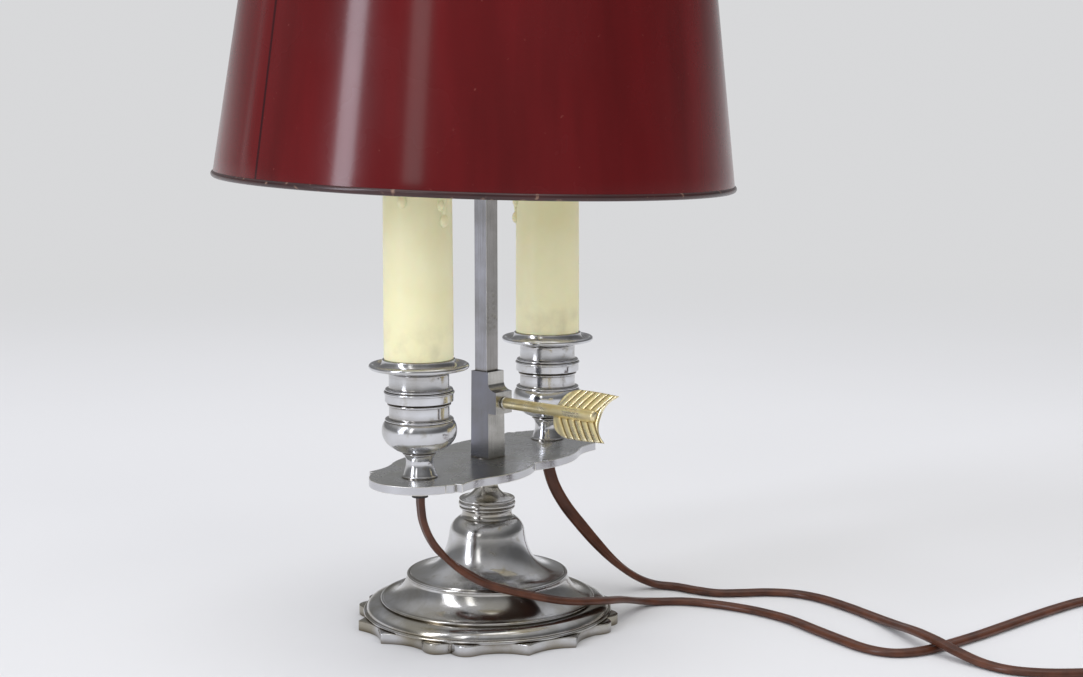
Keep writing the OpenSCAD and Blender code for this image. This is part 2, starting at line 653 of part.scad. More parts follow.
// Hub on the rod's tip with three flat arms, each turned down and riveted inside the shade's top
arm_w = 6;
arm_t = 1.4;
foot_l = 9;
arm_gap = 0.25;
arm_drop = 1.8;
module shade_carrier() {
    arm_z = shade_top_z - arm_drop;
    reach = shade_top_r + wall_slope * arm_drop - sheet_t / 2 - arm_gap;
    color("goldenrod") difference() {
        union() {
            translate([0, 0, hub_z]) rotate_extrude() polygon([[0, 0], [hub_r - 0.5, 0], [hub_r, 0.5],
                [hub_r, hub_h - 0.5], [hub_r - 0.5, hub_h], [0, hub_h]]);
            leaning() for (a = [90, 210, 330]) rotate([0, 0, a]) {
                translate([thread_r + 2, -arm_w / 2, arm_z - arm_t]) cube([reach - thread_r - 2.6, arm_w, arm_t]);
                translate([reach, 0, arm_z]) rotate([0, atan(wall_slope) * -1, 0])
                    translate([-arm_t, -arm_w / 2, -foot_l]) cube([arm_t, arm_w, foot_l]);
                translate([reach - 1 + wall_slope * 5, 0, arm_z - 5.4]) rotate([0, -90, 0])
                    cylinder(r = 1.5, h = 1.4, $fn = 24);
            }
        }
        translate([0, 0, hub_z - 3]) cylinder(r = thread_r + run_gap, h = hub_h + 6);
    }
}

module seat_washer() {
    color("silver") translate([0, 0, rod_top]) difference() {
        cylinder(r = hub_r + 1, h = seat_t);
        translate([0, 0, -1]) cylinder(r = thread_r + 0.05, h = seat_t + 2);
    }
}

finial_h = 27;
module finial() {
    color("silver") translate([0, 0, hub_z + hub_h + 0.2]) difference() {
        rotate_extrude() polygon(concat([[0, 0], [hub_r - 0.6, 0], [hub_r, 0.6], [hub_r, 1.6]],
            bez([hub_r - 0.8, 2.2], [4, 2.8], [3.6, 4], [3.6, 5.6], 5),
            [[5, 6.1], [5.2, 6.8], [4.6, 7.3]],
            bez([4.4, 7.6], [7.4, 8.8], [9, 12], [8.8, 15], 7),
            bez([8.6, 15.8], [8, 19.4], [4, 21], [3, 23.4], 6),
            arc([0, finial_h - 2.6], 2.6, -20, 90, 6)));
        translate([0, 0, -1]) cylinder(r = thread_r + 0.05, h = tip_l - seat_t - hub_h + 2);
    }
}

// ---- Flexes, switch and plug ----

switch_x = 166.4;
switch_y0 = -262;
switch_l = 60;
switch_w = 25;
switch_split = 7;
switch_h = 15;
rocker_y = switch_y0 - switch_l / 2;
rocker_l = 24;
rocker_w = 11;
rocker_h = 4.6;
rocker_r = 25.2;
rocker_sweep = 28;
pivot_z = 12.6;
pin_r = 1;
rocker_tilt = 8;

// Coil of the mains lead: three turns side by side in each of two layers
coil_x = 130.2;
coil_y = -372;
coil_r = 31;
coil_w = 3 * lead_d;
coil_h = 2 * lead_d + 0.2;

// Flat two-pin plug that lies across the coil
plug_t = 13.6;
plug_w = 34;
plug_l = 30;
plug_tail = 6.2;
plug_x = coil_x - 18;
plug_y = coil_y - 29;
plug_z = coil_h;
plug_end = plug_x + plug_l + plug_tail;
plug_mid = plug_z + plug_t / 2;
pin_gap = 19;
pin_l = 19;

// Each route is a list of points on a flex's middle line, from the lamp outwards
route_left = [[-46.4, -0.2, bush_z], [-46.4, -0.2, 57.4], [-45.6, -0.8, 50], [-42, -2, 42], [-36.5, -4, 35],
    [-31.6, -9.7, 28.6], [-28.4, -19.6, 23.8], [-20.2, -31.4, 19.8], [-6.4, -41.4, 15.2], [13, -46.6, 11.4],
    [31, -46.5, 7.6], [46, -46.4, 3.4], [55, -49.5, 1.5], [62, -60, 1.5], [65, -74, 1.5], [65, -91, 1.5],
    [61, -108, 1.5], [53, -124, 1.5], [46, -138, 1.5], [40.5, -151, 1.5], [40.5, -161, 1.5],
    [46, -168, 1.5], [55, -173, 1.5], [79, -181, 1.5], [98, -186, 1.5], [118, -191, 1.5], [136, -196, 1.5],
    [153, -202, 1.5], [164, -210, 1.5], [169.6, -222, 1.7], [170.2, -236, 3.5], [169.6, -249, 6],
    [169.4, -256, 7], [169.4, switch_y0, 7]];
route_right = [[46.4, -0.2, bush_z], [46.4, -0.2, 57.4], [47.6, -2.6, 48], [50, -7, 39], [53, -12.5, 31],
    [57.5, -18.5, 22], [63.5, -24, 13.5], [70.5, -29.5, 6.5], [77, -36, 2.2], [80.5, -45, 1.5],
    [80, -55, 1.5], [81, -65, 1.5], [87, -74, 1.5], [94, -83, 1.5], [98, -94, 1.5], [97, -106, 1.5],
    [91, -121, 1.5], [83, -136, 1.6], [73, -150, 2.8], [63, -162, 4.6], [54.5, -174, 4.9], [50, -184, 3.4],
    [46.5, -195, 1.8], [44.5, -206, 1.5], [47, -217, 1.5], [54, -229, 1.5], [63, -239, 1.5], [76, -246, 1.5],
    [92, -246, 1.5], [108, -240, 1.5], [124, -233, 1.5], [140, -231, 1.7], [154, -236, 3.5],
    [162, -248, 6], [163.4, -256, 7], [163.4, switch_y0, 7]];
route_lead = [[166.4, switch_y0 - switch_l, 7], [166.4, -329, 7], [166.4, -338, 4.8], [166.4, -347, 3],
    [166.4, -357, 2.8]];
// The tail climbs off the coil's outer turn into the plug
route_tail = [[166.2, -366, 8], [169.5, -373, 10], [171, -381, 12.4], [169.5, -388.6, 14.8],
    [165.1, -395.1, 16.6], [158.7, plug_y + 1.5, plug_mid], [plug_end + 2.8, plug_y, plug_mid],
    [plug_end, plug_y, plug_mid]];

function unit(v) = v / norm(v);
function flex_way(route, i) = unit(route[min(i + 1, len(route) - 1)] - route[max(i - 1, 0)]);
// A flex leaves its bush with its flat side turned to one side, and from a lower level down it lies flat
hang_z = 50;
function flex_face(z, turn, level) = let (w = min(1, max(0, (z - level) / (hang_z - level))))
    unit([w * cos(turn), w * sin(turn), 1 - w]);
function flex_side(route, i, turn, level) =
    unit(cross(flex_face(route[i][2], turn, level), flex_way(route, i)));
flex_sides = 8;
function flex_ring(route, i, w, t, turn, level) =
    let (s = flex_side(route, i, turn, level), up = cross(flex_way(route, i), s))
        [for (k = [0:flex_sides - 1]) let (a = 45 * k + 22.5)
            route[i] + s * (0.52 * w * cos(a)) + up * (0.52 * t * sin(a))];

module flex(route, w, t, turn = 0, level = 40) {
    n = len(route);
    points = [for (i = [0:n - 1]) each flex_ring(route, i, w, t, turn, level)];
    last = (n - 1) * flex_sides;
    faces = concat([[for (k = [0:flex_sides - 1]) k]],
        [for (i = [0:n - 2], k = [0:flex_sides - 1]) let (a = i * flex_sides, b = (k + 1) % flex_sides)
            [a + k, a + flex_sides + k, a + flex_sides + b, a + b]],
        [[for (k = [flex_sides - 1:-1:0]) last + k]]);
    color("saddlebrown") polyhedron(points, faces, convexity = 6);
}
module flex_left() { flex(route_left, flex_w, flex_t, flex_turns[0], 30); }
module flex_right() { flex(route_right, flex_w, flex_t, flex_turns[1], 3); }
module lead_run() { flex(route_lead, lead_d, lead_d); }
module lead_tail() { flex(route_tail, lead_d, lead_d); }

// In-line rocker switch, lying along Y where the two flexes meet
module switch_outline(inset) {
    corner = 5;
    half_w = switch_w / 2 - corner;
    half_l = switch_l / 2 - corner;
    r = corner - inset;
    translate([switch_x, rocker_y]) polygon(concat(
        arc([half_w, half_l], r, 0, 90, 5), arc([-half_w, half_l], r, 90, 180, 5),
        arc([-half_w, -half_l], r, 180, 270, 5), arc([half_w, -half_l], r, 270, 360, 5)));
}

module switch_base() {
    color("saddlebrown") difference() {
        linear_extrude(switch_split) switch_outline(0);
        translate([0, 0, 1.6]) linear_extrude(switch_split) switch_outline(1.6);
    }
}
module switch_cover() {
    color("saddlebrown") difference() {
        union() {
            translate([0, 0, switch_split]) linear_extrude(switch_h - switch_split - 1.4) switch_outline(0);
            translate([0, 0, switch_h - 1.5]) linear_extrude(1.5) switch_outline(1);
        }
        translate([0, 0, switch_split - 1]) linear_extrude(switch_h - switch_split - 0.6) switch_outline(2.2);
        translate([switch_x - rocker_w / 2 - 0.4, rocker_y - rocker_l / 2 - 0.4, switch_split])
            cube([rocker_w + 0.8, rocker_l + 0.8, switch_h]);
        translate([switch_x, rocker_y, pivot_z]) rotate([0, 90, 0])
            cylinder(r = pin_r + 0.05, h = rocker_w + 4, center = true);
        for (end = [-1, 1]) translate([switch_x, rocker_y + end * (switch_l / 2 - 9), switch_h - 2])
            cylinder(r = 2.6, h = 4);
    }
}
module switch_rocker() {
    rocker = concat([[-rocker_l / 2, 0.4], [rocker_l / 2, 0.4]],
        arc([0, rocker_h - rocker_r], rocker_r, 90 - rocker_sweep, 90 + rocker_sweep, 10));
    color("saddlebrown") translate([switch_x, rocker_y, pivot_z]) rotate([rocker_tilt, 0, 0]) difference() {
        union() {
            translate([-rocker_w / 2, 0, 0]) rotate([90, 0, 90]) linear_extrude(rocker_w) polygon(rocker);
            rotate([0, 90, 0]) cylinder(r = 2.2, h = rocker_w, center = true);
        }
        rotate([0, 90, 0]) cylinder(r = pin_r + 0.05, h = rocker_w + 2, center = true);
    }
}
module switch_pin() {
    color("gray") translate([switch_x, rocker_y, pivot_z]) rotate([0, 90, 0])
        cylinder(r = pin_r, h = rocker_w + 3.8, center = true);
}
module switch_screws() {
    color("gray") for (end = [-1, 1]) translate([switch_x, rocker_y + end * (switch_l / 2 - 9), 0]) difference() {
        union() {
            translate([0, 0, switch_h - 2]) cylinder(r = 2.5, h = 1.4);
            translate([0, 0, switch_h - 4]) cylinder(r = 1.2, h = 3);
        }
        translate([-3, -0.3, switch_h - 1.1]) cube([6, 0.6, 2]);
    }
}

module lead_coil() {
    color("saddlebrown") translate([coil_x, coil_y, 0]) rotate_extrude()
        translate([coil_r - coil_w / 2, 0]) square([coil_w, coil_h]);
}

// Places the plug's parts, which are drawn with the tail along +Y
module at_plug() {
    translate([plug_x, plug_y, plug_z]) rotate([0, 0, -90]) children();
}
module plug_body() {
    front = plug_w / 2;
    color("saddlebrown") at_plug() union() {
        linear_extrude(plug_t) polygon(concat([[-front, 0], [front, 0]],
            bez([front, plug_l * 0.4], [front, plug_l * 0.75], [8, plug_l * 0.8], [5, plug_l], 8),
            bez([-5, plug_l], [-8, plug_l * 0.8], [-front, plug_l * 0.75], [-front, plug_l * 0.4], 8)));
        translate([0, plug_l + plug_tail, plug_t / 2]) rotate([90, 0, 0])
            cylinder(r1 = 3.4, r2 = 4.6, h = plug_tail + 1);
    }
}
module plug_pins() {
    color("gold") at_plug() for (side = [-1, 1]) translate([side * pin_gap / 2, 0, plug_t / 2])
        rotate([90, 0, 0]) rotate_extrude()
            polygon([[0, 0], [2.4, 0], [2.4, pin_l - 1.4], [1.4, pin_l], [0, pin_l]]);
}

base_bell();
base_pad();
base_washer();
base_nut();
neck_collar();
rod();
arm_plate();
socket_block();
clamp_pad();
clamp_screw();
arrow_key();
cup_left();
cup_right();
cup_nuts();
flex_bushes();
nipples();
lampholders();
holder_contacts();
tube_left();
tube_right();
bulb_caps();
bulb_left();
bulb_right();
shade_skin();
shade_carrier();
seat_washer();
finial();
flex_left();
flex_right();
switch_base();
switch_cover();
switch_rocker();
switch_pin();
switch_screws();
lead_run();
lead_coil();
lead_tail();
plug_body();
plug_pins();
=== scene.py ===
import json
import math

import bpy
from mathutils import Matrix, Vector

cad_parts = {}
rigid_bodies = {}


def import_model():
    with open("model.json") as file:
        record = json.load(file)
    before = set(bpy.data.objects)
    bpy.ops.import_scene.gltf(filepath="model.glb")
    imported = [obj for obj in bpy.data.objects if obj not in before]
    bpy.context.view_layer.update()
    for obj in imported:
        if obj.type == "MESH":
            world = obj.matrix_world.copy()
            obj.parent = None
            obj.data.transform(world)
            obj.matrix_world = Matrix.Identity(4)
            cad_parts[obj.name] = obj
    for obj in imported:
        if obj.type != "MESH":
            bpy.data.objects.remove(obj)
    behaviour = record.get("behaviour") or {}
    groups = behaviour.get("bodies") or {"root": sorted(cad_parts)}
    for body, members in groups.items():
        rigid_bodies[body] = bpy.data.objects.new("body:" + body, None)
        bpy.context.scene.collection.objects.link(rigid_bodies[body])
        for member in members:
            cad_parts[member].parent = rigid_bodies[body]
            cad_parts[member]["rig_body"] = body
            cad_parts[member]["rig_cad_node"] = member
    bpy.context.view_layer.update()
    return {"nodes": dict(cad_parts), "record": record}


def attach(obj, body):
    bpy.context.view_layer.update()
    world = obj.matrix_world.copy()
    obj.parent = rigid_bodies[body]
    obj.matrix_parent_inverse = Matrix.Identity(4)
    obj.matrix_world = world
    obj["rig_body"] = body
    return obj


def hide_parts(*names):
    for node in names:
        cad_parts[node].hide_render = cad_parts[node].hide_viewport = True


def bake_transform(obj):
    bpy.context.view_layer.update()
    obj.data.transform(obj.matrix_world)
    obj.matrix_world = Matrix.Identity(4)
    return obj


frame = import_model()
mm = 0.001
scene = bpy.context.scene

# the camera stands where a person at the table would sit
viewpoint = {
    "heading": 32.5,  # degrees from +X to the way that the camera looks, seen from above
    "pitchDown": 7.91,
    "distance": 764.1,  # from the rod, along the heading
    "sideStep": 22.4,  # how far right of the rod the camera stands
    "height": 223.2,
    "lens": 63.16,
    "filmWidth": 36,
}


def fromViewer(right, away, up):  # millimetres right of the rod and behind it, as the viewer sees it
    turn = math.radians(viewpoint["heading"])
    return Vector((
        away * math.cos(turn) + right * math.sin(turn),
        away * math.sin(turn) - right * math.cos(turn),
        up,
    )) * mm


def makeCamera():
    cameraData = bpy.data.cameras.new("tableView")
    cameraData.lens = viewpoint["lens"]
    cameraData.sensor_width = viewpoint["filmWidth"]
    cameraData.clip_start = 0.01
    camera = bpy.data.objects.new("tableView", cameraData)
    camera.location = fromViewer(viewpoint["sideStep"], -viewpoint["distance"], viewpoint["height"])
    camera.rotation_euler = (
        math.radians(90 - viewpoint["pitchDown"]),
        0,
        math.radians(viewpoint["heading"] - 90),
    )
    scene.collection.objects.link(camera)
    scene.camera = camera


makeCamera()
print("camera ready")


def startClean():
    if bpy.context.object and bpy.context.object.mode != "OBJECT":
        bpy.ops.object.mode_set(mode="OBJECT")
    bpy.ops.object.select_all(action="DESELECT")


def useOnly(piece):
    startClean()
    piece.select_set(True)
    bpy.context.view_layer.objects.active = piece


def applyModifier(kind, **settings):
    bpy.ops.object.modifier_add(type=kind)
    modifier = bpy.context.object.modifiers[-1]
    for name, value in settings.items():
        setattr(modifier, name, value)
    bpy.ops.object.modifier_apply(modifier=modifier.name)


def easeEdges(width, segments, angle, edgeSlot=-1):  # rounds the edges that turn by more than the angle
    applyModifier(
        "BEVEL", width=width * mm, segments=segments, limit_method="ANGLE", angle_limit=math.radians(angle),
        material=edgeSlot)


def sealMesh(weld=0):  # ends edit mode with the points welded and all faces turned outwards
    bpy.ops.mesh.select_all(action="SELECT")
    if weld:
        bpy.ops.mesh.remove_doubles(threshold=weld * mm)
    bpy.ops.mesh.normals_make_consistent(inside=False)
    bpy.ops.object.mode_set(mode="OBJECT")


def smoothUpTo(angle):
    bpy.ops.object.shade_smooth_by_angle(angle=math.radians(angle))


def joinAs(name, parts):
    useOnly(parts[0])
    for part in parts[1:]:
        part.select_set(True)
    bpy.ops.object.join()
    piece = bpy.context.object
    piece.name = name
    return piece


def onCircle(radius, angle):
    return radius * math.cos(math.radians(angle)), radius * math.sin(math.radians(angle))


def roundRing(radius, step):
    return [onCircle(radius, angle) for angle in range(0, 360, step)]


def arcPoints(centre, radius, start, end, count=8):
    points = []
    for i in range(count + 1):
        across, up = onCircle(radius, start + (end - start) * i / count)
        points.append((centre[0] + across, centre[1] + up))
    return points


def curvePoints(p, q, r, s, count=14):  # from p to s, drawn towards q and r on its way
    points = []
    for i in range(count + 1):
        t = i / count
        u = 1 - t
        weights = (u * u * u, 3 * u * u * t, 3 * u * t * t, t * t * t)
        points.append(tuple(sum(w * c[k] for w, c in zip(weights, (p, q, r, s))) for k in (0, 1)))
    return points


def turnOnLathe(name, outline, steps=128, crease=32):  # spins (radius, height) points about the upright axis
    path = [outline[0]]
    for point in outline[1:]:
        if math.dist(point, path[-1]) > 0.02:
            path.append(point)
    startClean()
    bpy.ops.mesh.primitive_plane_add(size=mm)
    piece = bpy.context.object
    piece.name = name
    bpy.ops.object.mode_set(mode="EDIT")
    bpy.ops.mesh.select_mode(type="VERT")
    bpy.ops.mesh.select_all(action="SELECT")
    bpy.ops.mesh.merge(type="CENTER")
    bpy.ops.transform.translate(value=(path[0][0] * mm, 0, path[0][1] * mm))
    for here, following in zip(path, path[1:]):
        step = ((following[0] - here[0]) * mm, 0, (following[1] - here[1]) * mm)
        bpy.ops.mesh.extrude_region_move(TRANSFORM_OT_translate={"value": step})
    bpy.ops.mesh.select_all(action="SELECT")
    bpy.ops.mesh.spin(steps=steps, angle=math.tau, center=(0, 0, 0), axis=(0, 0, 1))
    sealMesh(weld=0.005)
    smoothUpTo(crease)
    return piece


# the two flat flexes, along lines of points in millimetres
flexes = {
    "width": 5.2,
    "thick": 2.7,
    "groove": 0.74,  # half thickness in the groove between the cores, as a share of theirs
    "spacing": 1.6,  # from one ring of the mesh to the next
    "drawnOut": (24, 59),  # levels between which they stretch as the bracket rises
    "hangLevel": 50,  # above this level a flex faces the way that its bush turns it
    "left": {
        "turn": -33.5,
        "lieLevel": 30,  # below this level it lies flat
        "route": [
            (-46.4, -0.2, 60.2), (-46.4, -0.2, 57.4), (-45.6, -0.8, 50), (-42, -2, 42), (-36.5, -4, 35),
            (-31.6, -9.7, 28.6), (-28.4, -19.6, 23.8), (-20.2, -31.4, 19.8), (-6.4, -41.4, 15.2),
            (13, -46.6, 11.4), (31, -46.5, 7.6), (46, -46.4, 3.4), (55, -49.5, 1.5), (62, -60, 1.5),
            (65, -74, 1.5), (65, -91, 1.5), (61, -108, 1.5), (53, -124, 1.5), (46, -138, 1.5),
            (40.5, -151, 1.5), (40.5, -161, 1.5), (46, -168, 1.5), (55, -173, 1.5), (79, -181, 1.5),
            (98, -186, 1.5), (118, -191, 1.5), (136, -196, 1.5), (153, -202, 1.5), (164, -210, 1.5),
            (169.6, -222, 1.7), (170.2, -236, 3.5), (169.6, -249, 6), (169.4, -256, 7), (169.4, -262, 7),
        ],
    },
    "right": {
        "turn": 212.5,
        "lieLevel": 3,
        "route": [
            (46.4, -0.2, 60.2), (46.4, -0.2, 57.4), (47.6, -2.6, 48), (50, -7, 39), (53, -12.5, 31),
            (57.5, -18.5, 22), (63.5, -24, 13.5), (70.5, -29.5, 6.5), (77, -36, 2.2), (80.5, -45, 1.5),
            (80, -55, 1.5), (81, -65, 1.5), (87, -74, 1.5), (94, -83, 1.5), (98, -94, 1.5),
            (97, -106, 1.5), (91, -121, 1.5), (83, -136, 1.6), (73, -150, 2.8), (63, -162, 4.6),
            (54.5, -174, 4.9), (50, -184, 3.4), (46.5, -195, 1.8), (44.5, -206, 1.5), (47, -217, 1.5),
            (54, -229, 1.5), (63, -239, 1.5), (76, -246, 1.5), (92, -246, 1.5), (108, -240, 1.5),
            (124, -233, 1.5), (140, -231, 1.7), (154, -236, 3.5), (162, -248, 6), (163.4, -256, 7),
            (163.4, -262, 7),
        ],
    },
}

# round mains lead, from the switch through the coil to the plug
lead = {
    "diameter": 5.2,
    "spacing": 2.6,
    "fromSwitch": [(166.4, -322, 7), (166.4, -329, 7), (166.4, -338, 4.8), (166.4, -347, 3),
                   (166.4, -357, 2.7)],
    "toPlug": [(165.6, -361, 9), (169.65, -368, 10.3), (172.3, -375.2, 11.9), (172.3, -382.8, 13.4),
               (169.65, -390, 14.9), (164.7, -395.85, 16.2), (158.1, -399.7, 17), (150.6, -401, 17.4),
               (148.4, -401, 17.4)],
    "coilCentre": (130.2, -372),
    "coilStep": 6,  # degrees
    # radius and level of each turn
    "coilTurns": [(36.2, 2.65), (31, 2.65), (25.8, 2.65), (25.8, 7.95), (31, 7.95), (36.2, 7.95)],
    "jog": 100,  # degrees over which one turn passes to the next
    "shortBy": 30,  # degrees that the last turn stops short
}


def smoothRoute(points, spacing):  # a fine line through the points, with no corner at any of them
    corners = [Vector(p) for p in points]
    ways = []
    for i in range(len(corners)):
        ways.append((corners[min(i + 1, len(corners) - 1)] - corners[max(i - 1, 0)]).normalized())
    fine = []
    for i in range(len(corners) - 1):
        a, b = corners[i], corners[i + 1]
        reach = (b - a).length
        count = max(2, round(reach / spacing))
        for k in range(count):
            t = k / count
            fine.append(
                a * (2 * t ** 3 - 3 * t ** 2 + 1) + ways[i] * reach * (t ** 3 - 2 * t ** 2 + t)
                + b * (3 * t ** 2 - 2 * t ** 3) + ways[i + 1] * reach * (t ** 3 - t ** 2))
    fine.append(corners[-1])
    return fine


def routeLength(route):
    return sum((b - a).length for a, b in zip(route, route[1:]))


def sweepTube(name, route, ringAt, faceAt):  # carries a ring along the route, its top turned to faceAt
    points = []
    sides = len(ringAt(0))
    for i, spot in enumerate(route):
        way = (route[min(i + 1, len(route) - 1)] - route[max(i - 1, 0)]).normalized()
        side = faceAt(spot).cross(way).normalized()
        up = way.cross(side)
        points += [spot + side * across + up * high for across, high in ringAt(i)]
    faces = []
    for i in range(len(route) - 1):
        for k in range(sides):
            a, b = i * sides + k, i * sides + (k + 1) % sides
            faces.append((a, b, b + sides, a + sides))
    last = len(points) - sides
    points += [route[0], route[-1]]
    for k in range(sides):
        faces.append((len(points) - 2, (k + 1) % sides, k))
        faces.append((len(points) - 1, last + k, last + (k + 1) % sides))
    mesh = bpy.data.meshes.new(name)
    mesh.from_pydata([p * mm for p in points], [], faces)
    piece = bpy.data.objects.new(name, mesh)
    scene.collection.objects.link(piece)
    useOnly(piece)
    bpy.ops.object.mode_set(mode="EDIT")
    sealMesh()
    smoothUpTo(50)
    return piece


def upright(spot):
    return Vector((0, 0, 1))


def twinSection():  # two cores side by side, with a shallow groove between them
    half = flexes["thick"] / 2
    out = flexes["width"] / 2 - half
    ring = []
    for way, start in ((1, -100), (-1, 80)):
        for angle in range(start, start + 201, 20):
            across, high = onCircle(half, angle)
            ring.append((way * out + across, high))
        ring.append((0, way * flexes["groove"] * half))
    return ring


def makeFlex(side):
    facts = flexes[side]
    route = smoothRoute(facts["route"], flexes["spacing"])
    ring = twinSection()
    hanging = Vector((*onCircle(1, facts["turn"]), 0))

    def faceAt(spot):
        share = (spot.z - facts["lieLevel"]) / (flexes["hangLevel"] - facts["lieLevel"])
        share = min(1, max(0, share))
        return (hanging * share + upright(spot) * (1 - share)).normalized()

    return sweepTube("flex" + side.capitalize(), route, lambda i: ring, faceAt), route


def coilRoute():
    centre = lead["coilCentre"]
    turns = lead["coilTurns"]
    whole = 360 * len(turns) - lead["shortBy"]
    route = []
    for angle in range(0, whole, lead["coilStep"]):
        k = angle // 360
        radius, level = turns[k]
        into = angle % 360 - (360 - lead["jog"])
        if into > 0 and k + 1 < len(turns):
            t = into / lead["jog"]
            t = t * t * (3 - 2 * t)
            radius += (turns[k + 1][0] - radius) * t
            level += (turns[k + 1][1] - level) * t
        across, along = onCircle(radius, -angle)
        route.append((centre[0] + across, centre[1] + along, level))
    return route


def makeLead():
    corners = lead["fromSwitch"] + coilRoute() + lead["toPlug"]
    route = smoothRoute(corners, lead["spacing"])
    ring = roundRing(lead["diameter"] / 2, 24)
    return sweepTube("mainsLead", route, lambda i: ring, upright), route


flexLeft, leftRoute = makeFlex("left")
flexRight, rightRoute = makeFlex("right")
mainsLead, leadRoute = makeLead()
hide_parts("flex_left")
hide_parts("flex_right")
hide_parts("lead_run", "lead_coil", "lead_tail")
print("cords laid:", [round(routeLength(r)) for r in (leftRoute, rightRoute, leadRoute)])

# spun foot with a scalloped rim
foot = {
    "cornerRadius": 54.8,
    "scallop": 3.8,  # how far a long side lies inside the corners
    "cusp": 4.2,  # how far the cusp in its middle lies inside them
    "sag": 2.4,  # how far the run from there to the corner is drawn in
    "swell": (14, 3.6),  # degrees from the cusp to the side's run, and how far it swells out on the way
    "sideEnd": 33.8,  # degrees from the cusp to the corner
    "turn": 17.5,
    "rimHeight": 4.2,
    "rimLip": 0.7,  # how deep the rim's top is sunk inside its edge
    "topShare": 0.86,  # size of the sunk top against the outline
    "underShare": 0.9625,  # size of the open underside, inside the rim's wall
    "edge": 0.3,
    "reed": 0.7,
    "reedRadius": 50.4,
    "stepRadius": 43.3,
    "stepHeight": 9.8,
    "shoulderRadius": 32.5,
    "shoulderHeight": 19.6,
    "bellTopRadius": 11.4,
    "bellHeight": 44.6,
    "seatRadius": 46.4,  # where the bell ends on the rim
    "bore": 3,
}


def rimRadius(angle):  # long scallops with an inward cusp, between pairs of sharp corners
    a = (angle - foot["turn"]) % 90
    a = 90 - a if a > 45 else a
    outer, cusp, sag = foot["cornerRadius"], foot["cusp"], foot["sag"]
    scallop, corner = foot["scallop"], foot["sideEnd"]
    swell, rise = foot["swell"]
    if a < swell:
        return outer - cusp + rise * math.sin(math.pi * a / swell)
    if a < corner:
        u = (a - swell) / (corner - swell)
        v = 1 - u
        low = outer - scallop - sag
        return v ** 3 * (outer - cusp) + 3 * v * v * u * low + 3 * v * u * u * low + u ** 3 * outer
    return outer - scallop * (1 - ((a - 45) / (45 - corner)) ** 2)


def makeRim():
    startClean()
    bpy.ops.mesh.primitive_circle_add(vertices=720, radius=foot["cornerRadius"] * mm)
    rim = bpy.context.object
    rim.name = "footRim"
    for point in rim.data.vertices:  # each point moves out or in to the scalloped outline
        angle = math.degrees(math.atan2(point.co.y, point.co.x))
        point.co = point.co.normalized() * rimRadius(angle) * mm
    bpy.ops.object.mode_set(mode="EDIT")
    bpy.ops.mesh.select_mode(type="VERT")
    bpy.ops.mesh.select_all(action="SELECT")
    height, lip, top, under = (foot[k] for k in ("rimHeight", "rimLip", "topShare", "underShare"))
    scale = 1
    # size against the outline and rise of each ring in turn: outside, top, inside, underside and back
    for share, rise in ((1, height), (top, 0), (top, -lip), (under, 0), (under, lip - height), (1, 0)):
        bpy.ops.mesh.extrude_region_move(TRANSFORM_OT_translate={"value": (0, 0, rise * mm)})
        bpy.ops.transform.resize(value=(share / scale, share / scale, 1), center_override=(0, 0, 0))
        scale = share
    sealMesh(weld=0.01)
    easeEdges(foot["edge"], 3, 40)
    smoothUpTo(35)
    return rim


def makeBell():
    reed, r1, r2, r3 = (foot[k] for k in ("reed", "reedRadius", "stepRadius", "shoulderRadius"))
    z2, z3, top, h = (foot[k] for k in ("stepHeight", "shoulderHeight", "bellTopRadius", "bellHeight"))
    seat, bore = foot["seatRadius"], foot["bore"]
    z1 = foot["rimHeight"] + 0.5
    outline = [(seat, z1 - 1.0), (r1 - 0.6, z1 - 1.0)]
    outline += arcPoints((r1, z1), reed, -80, 100, 10)
    outline += curvePoints(
        (r1 - 0.5, z1 + 0.8), (r1 - 0.6, z2 - 1.6), (r2 + 3, z2 - 0.7), (r2 + 0.6, z2 - 0.6))
    outline += arcPoints((r2, z2), reed, -10, 150, 10)
    # the ovolo, up to the third reed
    outline += curvePoints(
        (r2 - 1, z2 + 0.3), (r2 - 6.4, z2 + 1.4), (r3 + 1.5, z3 - 4.8), (r3 + 0.5, z3 - 0.8))
    outline += arcPoints((r3, z3), reed, -20, 140, 10)
    # the hollow, and the rounded top under the neck
    outline += curvePoints(
        (r3 - 0.9, z3 + 1), (r3 - 12, z3 + 1.8), (top + 5.4, h - 17.1), (top + 4.1, h - 7.6), 28)
    outline += curvePoints(
        (top + 3.9, h - 6.2), (top + 3.1, h - 3.2), (top + 1, h - 1.6), (top - 0.5, h - 1.1), 12)
    # the inside, a wall's thickness behind the outside
    outline += [(bore, h - 1.1), (bore, h - 5), (top + 1.6, h - 5.8), (top + 4.6, h - 19),
                (r3 - 11.8, z3 - 0.2), (r3 - 1.2, z3 - 1.9), (r3 + 1.4, z3 - 6.6),
                (r2 - 1.6, z2 - 2.6), (seat, z1 - 1.0)]
    return turnOnLathe("footBell", outline, steps=160)


footRim = makeRim()
footBell = makeBell()
print("foot turned")

# turned neck between the foot and the arm plate
neck = {"ring": 11.7, "waist": 4.4, "flange": 7.6, "base": 43.5, "top": 65, "bore": 3}


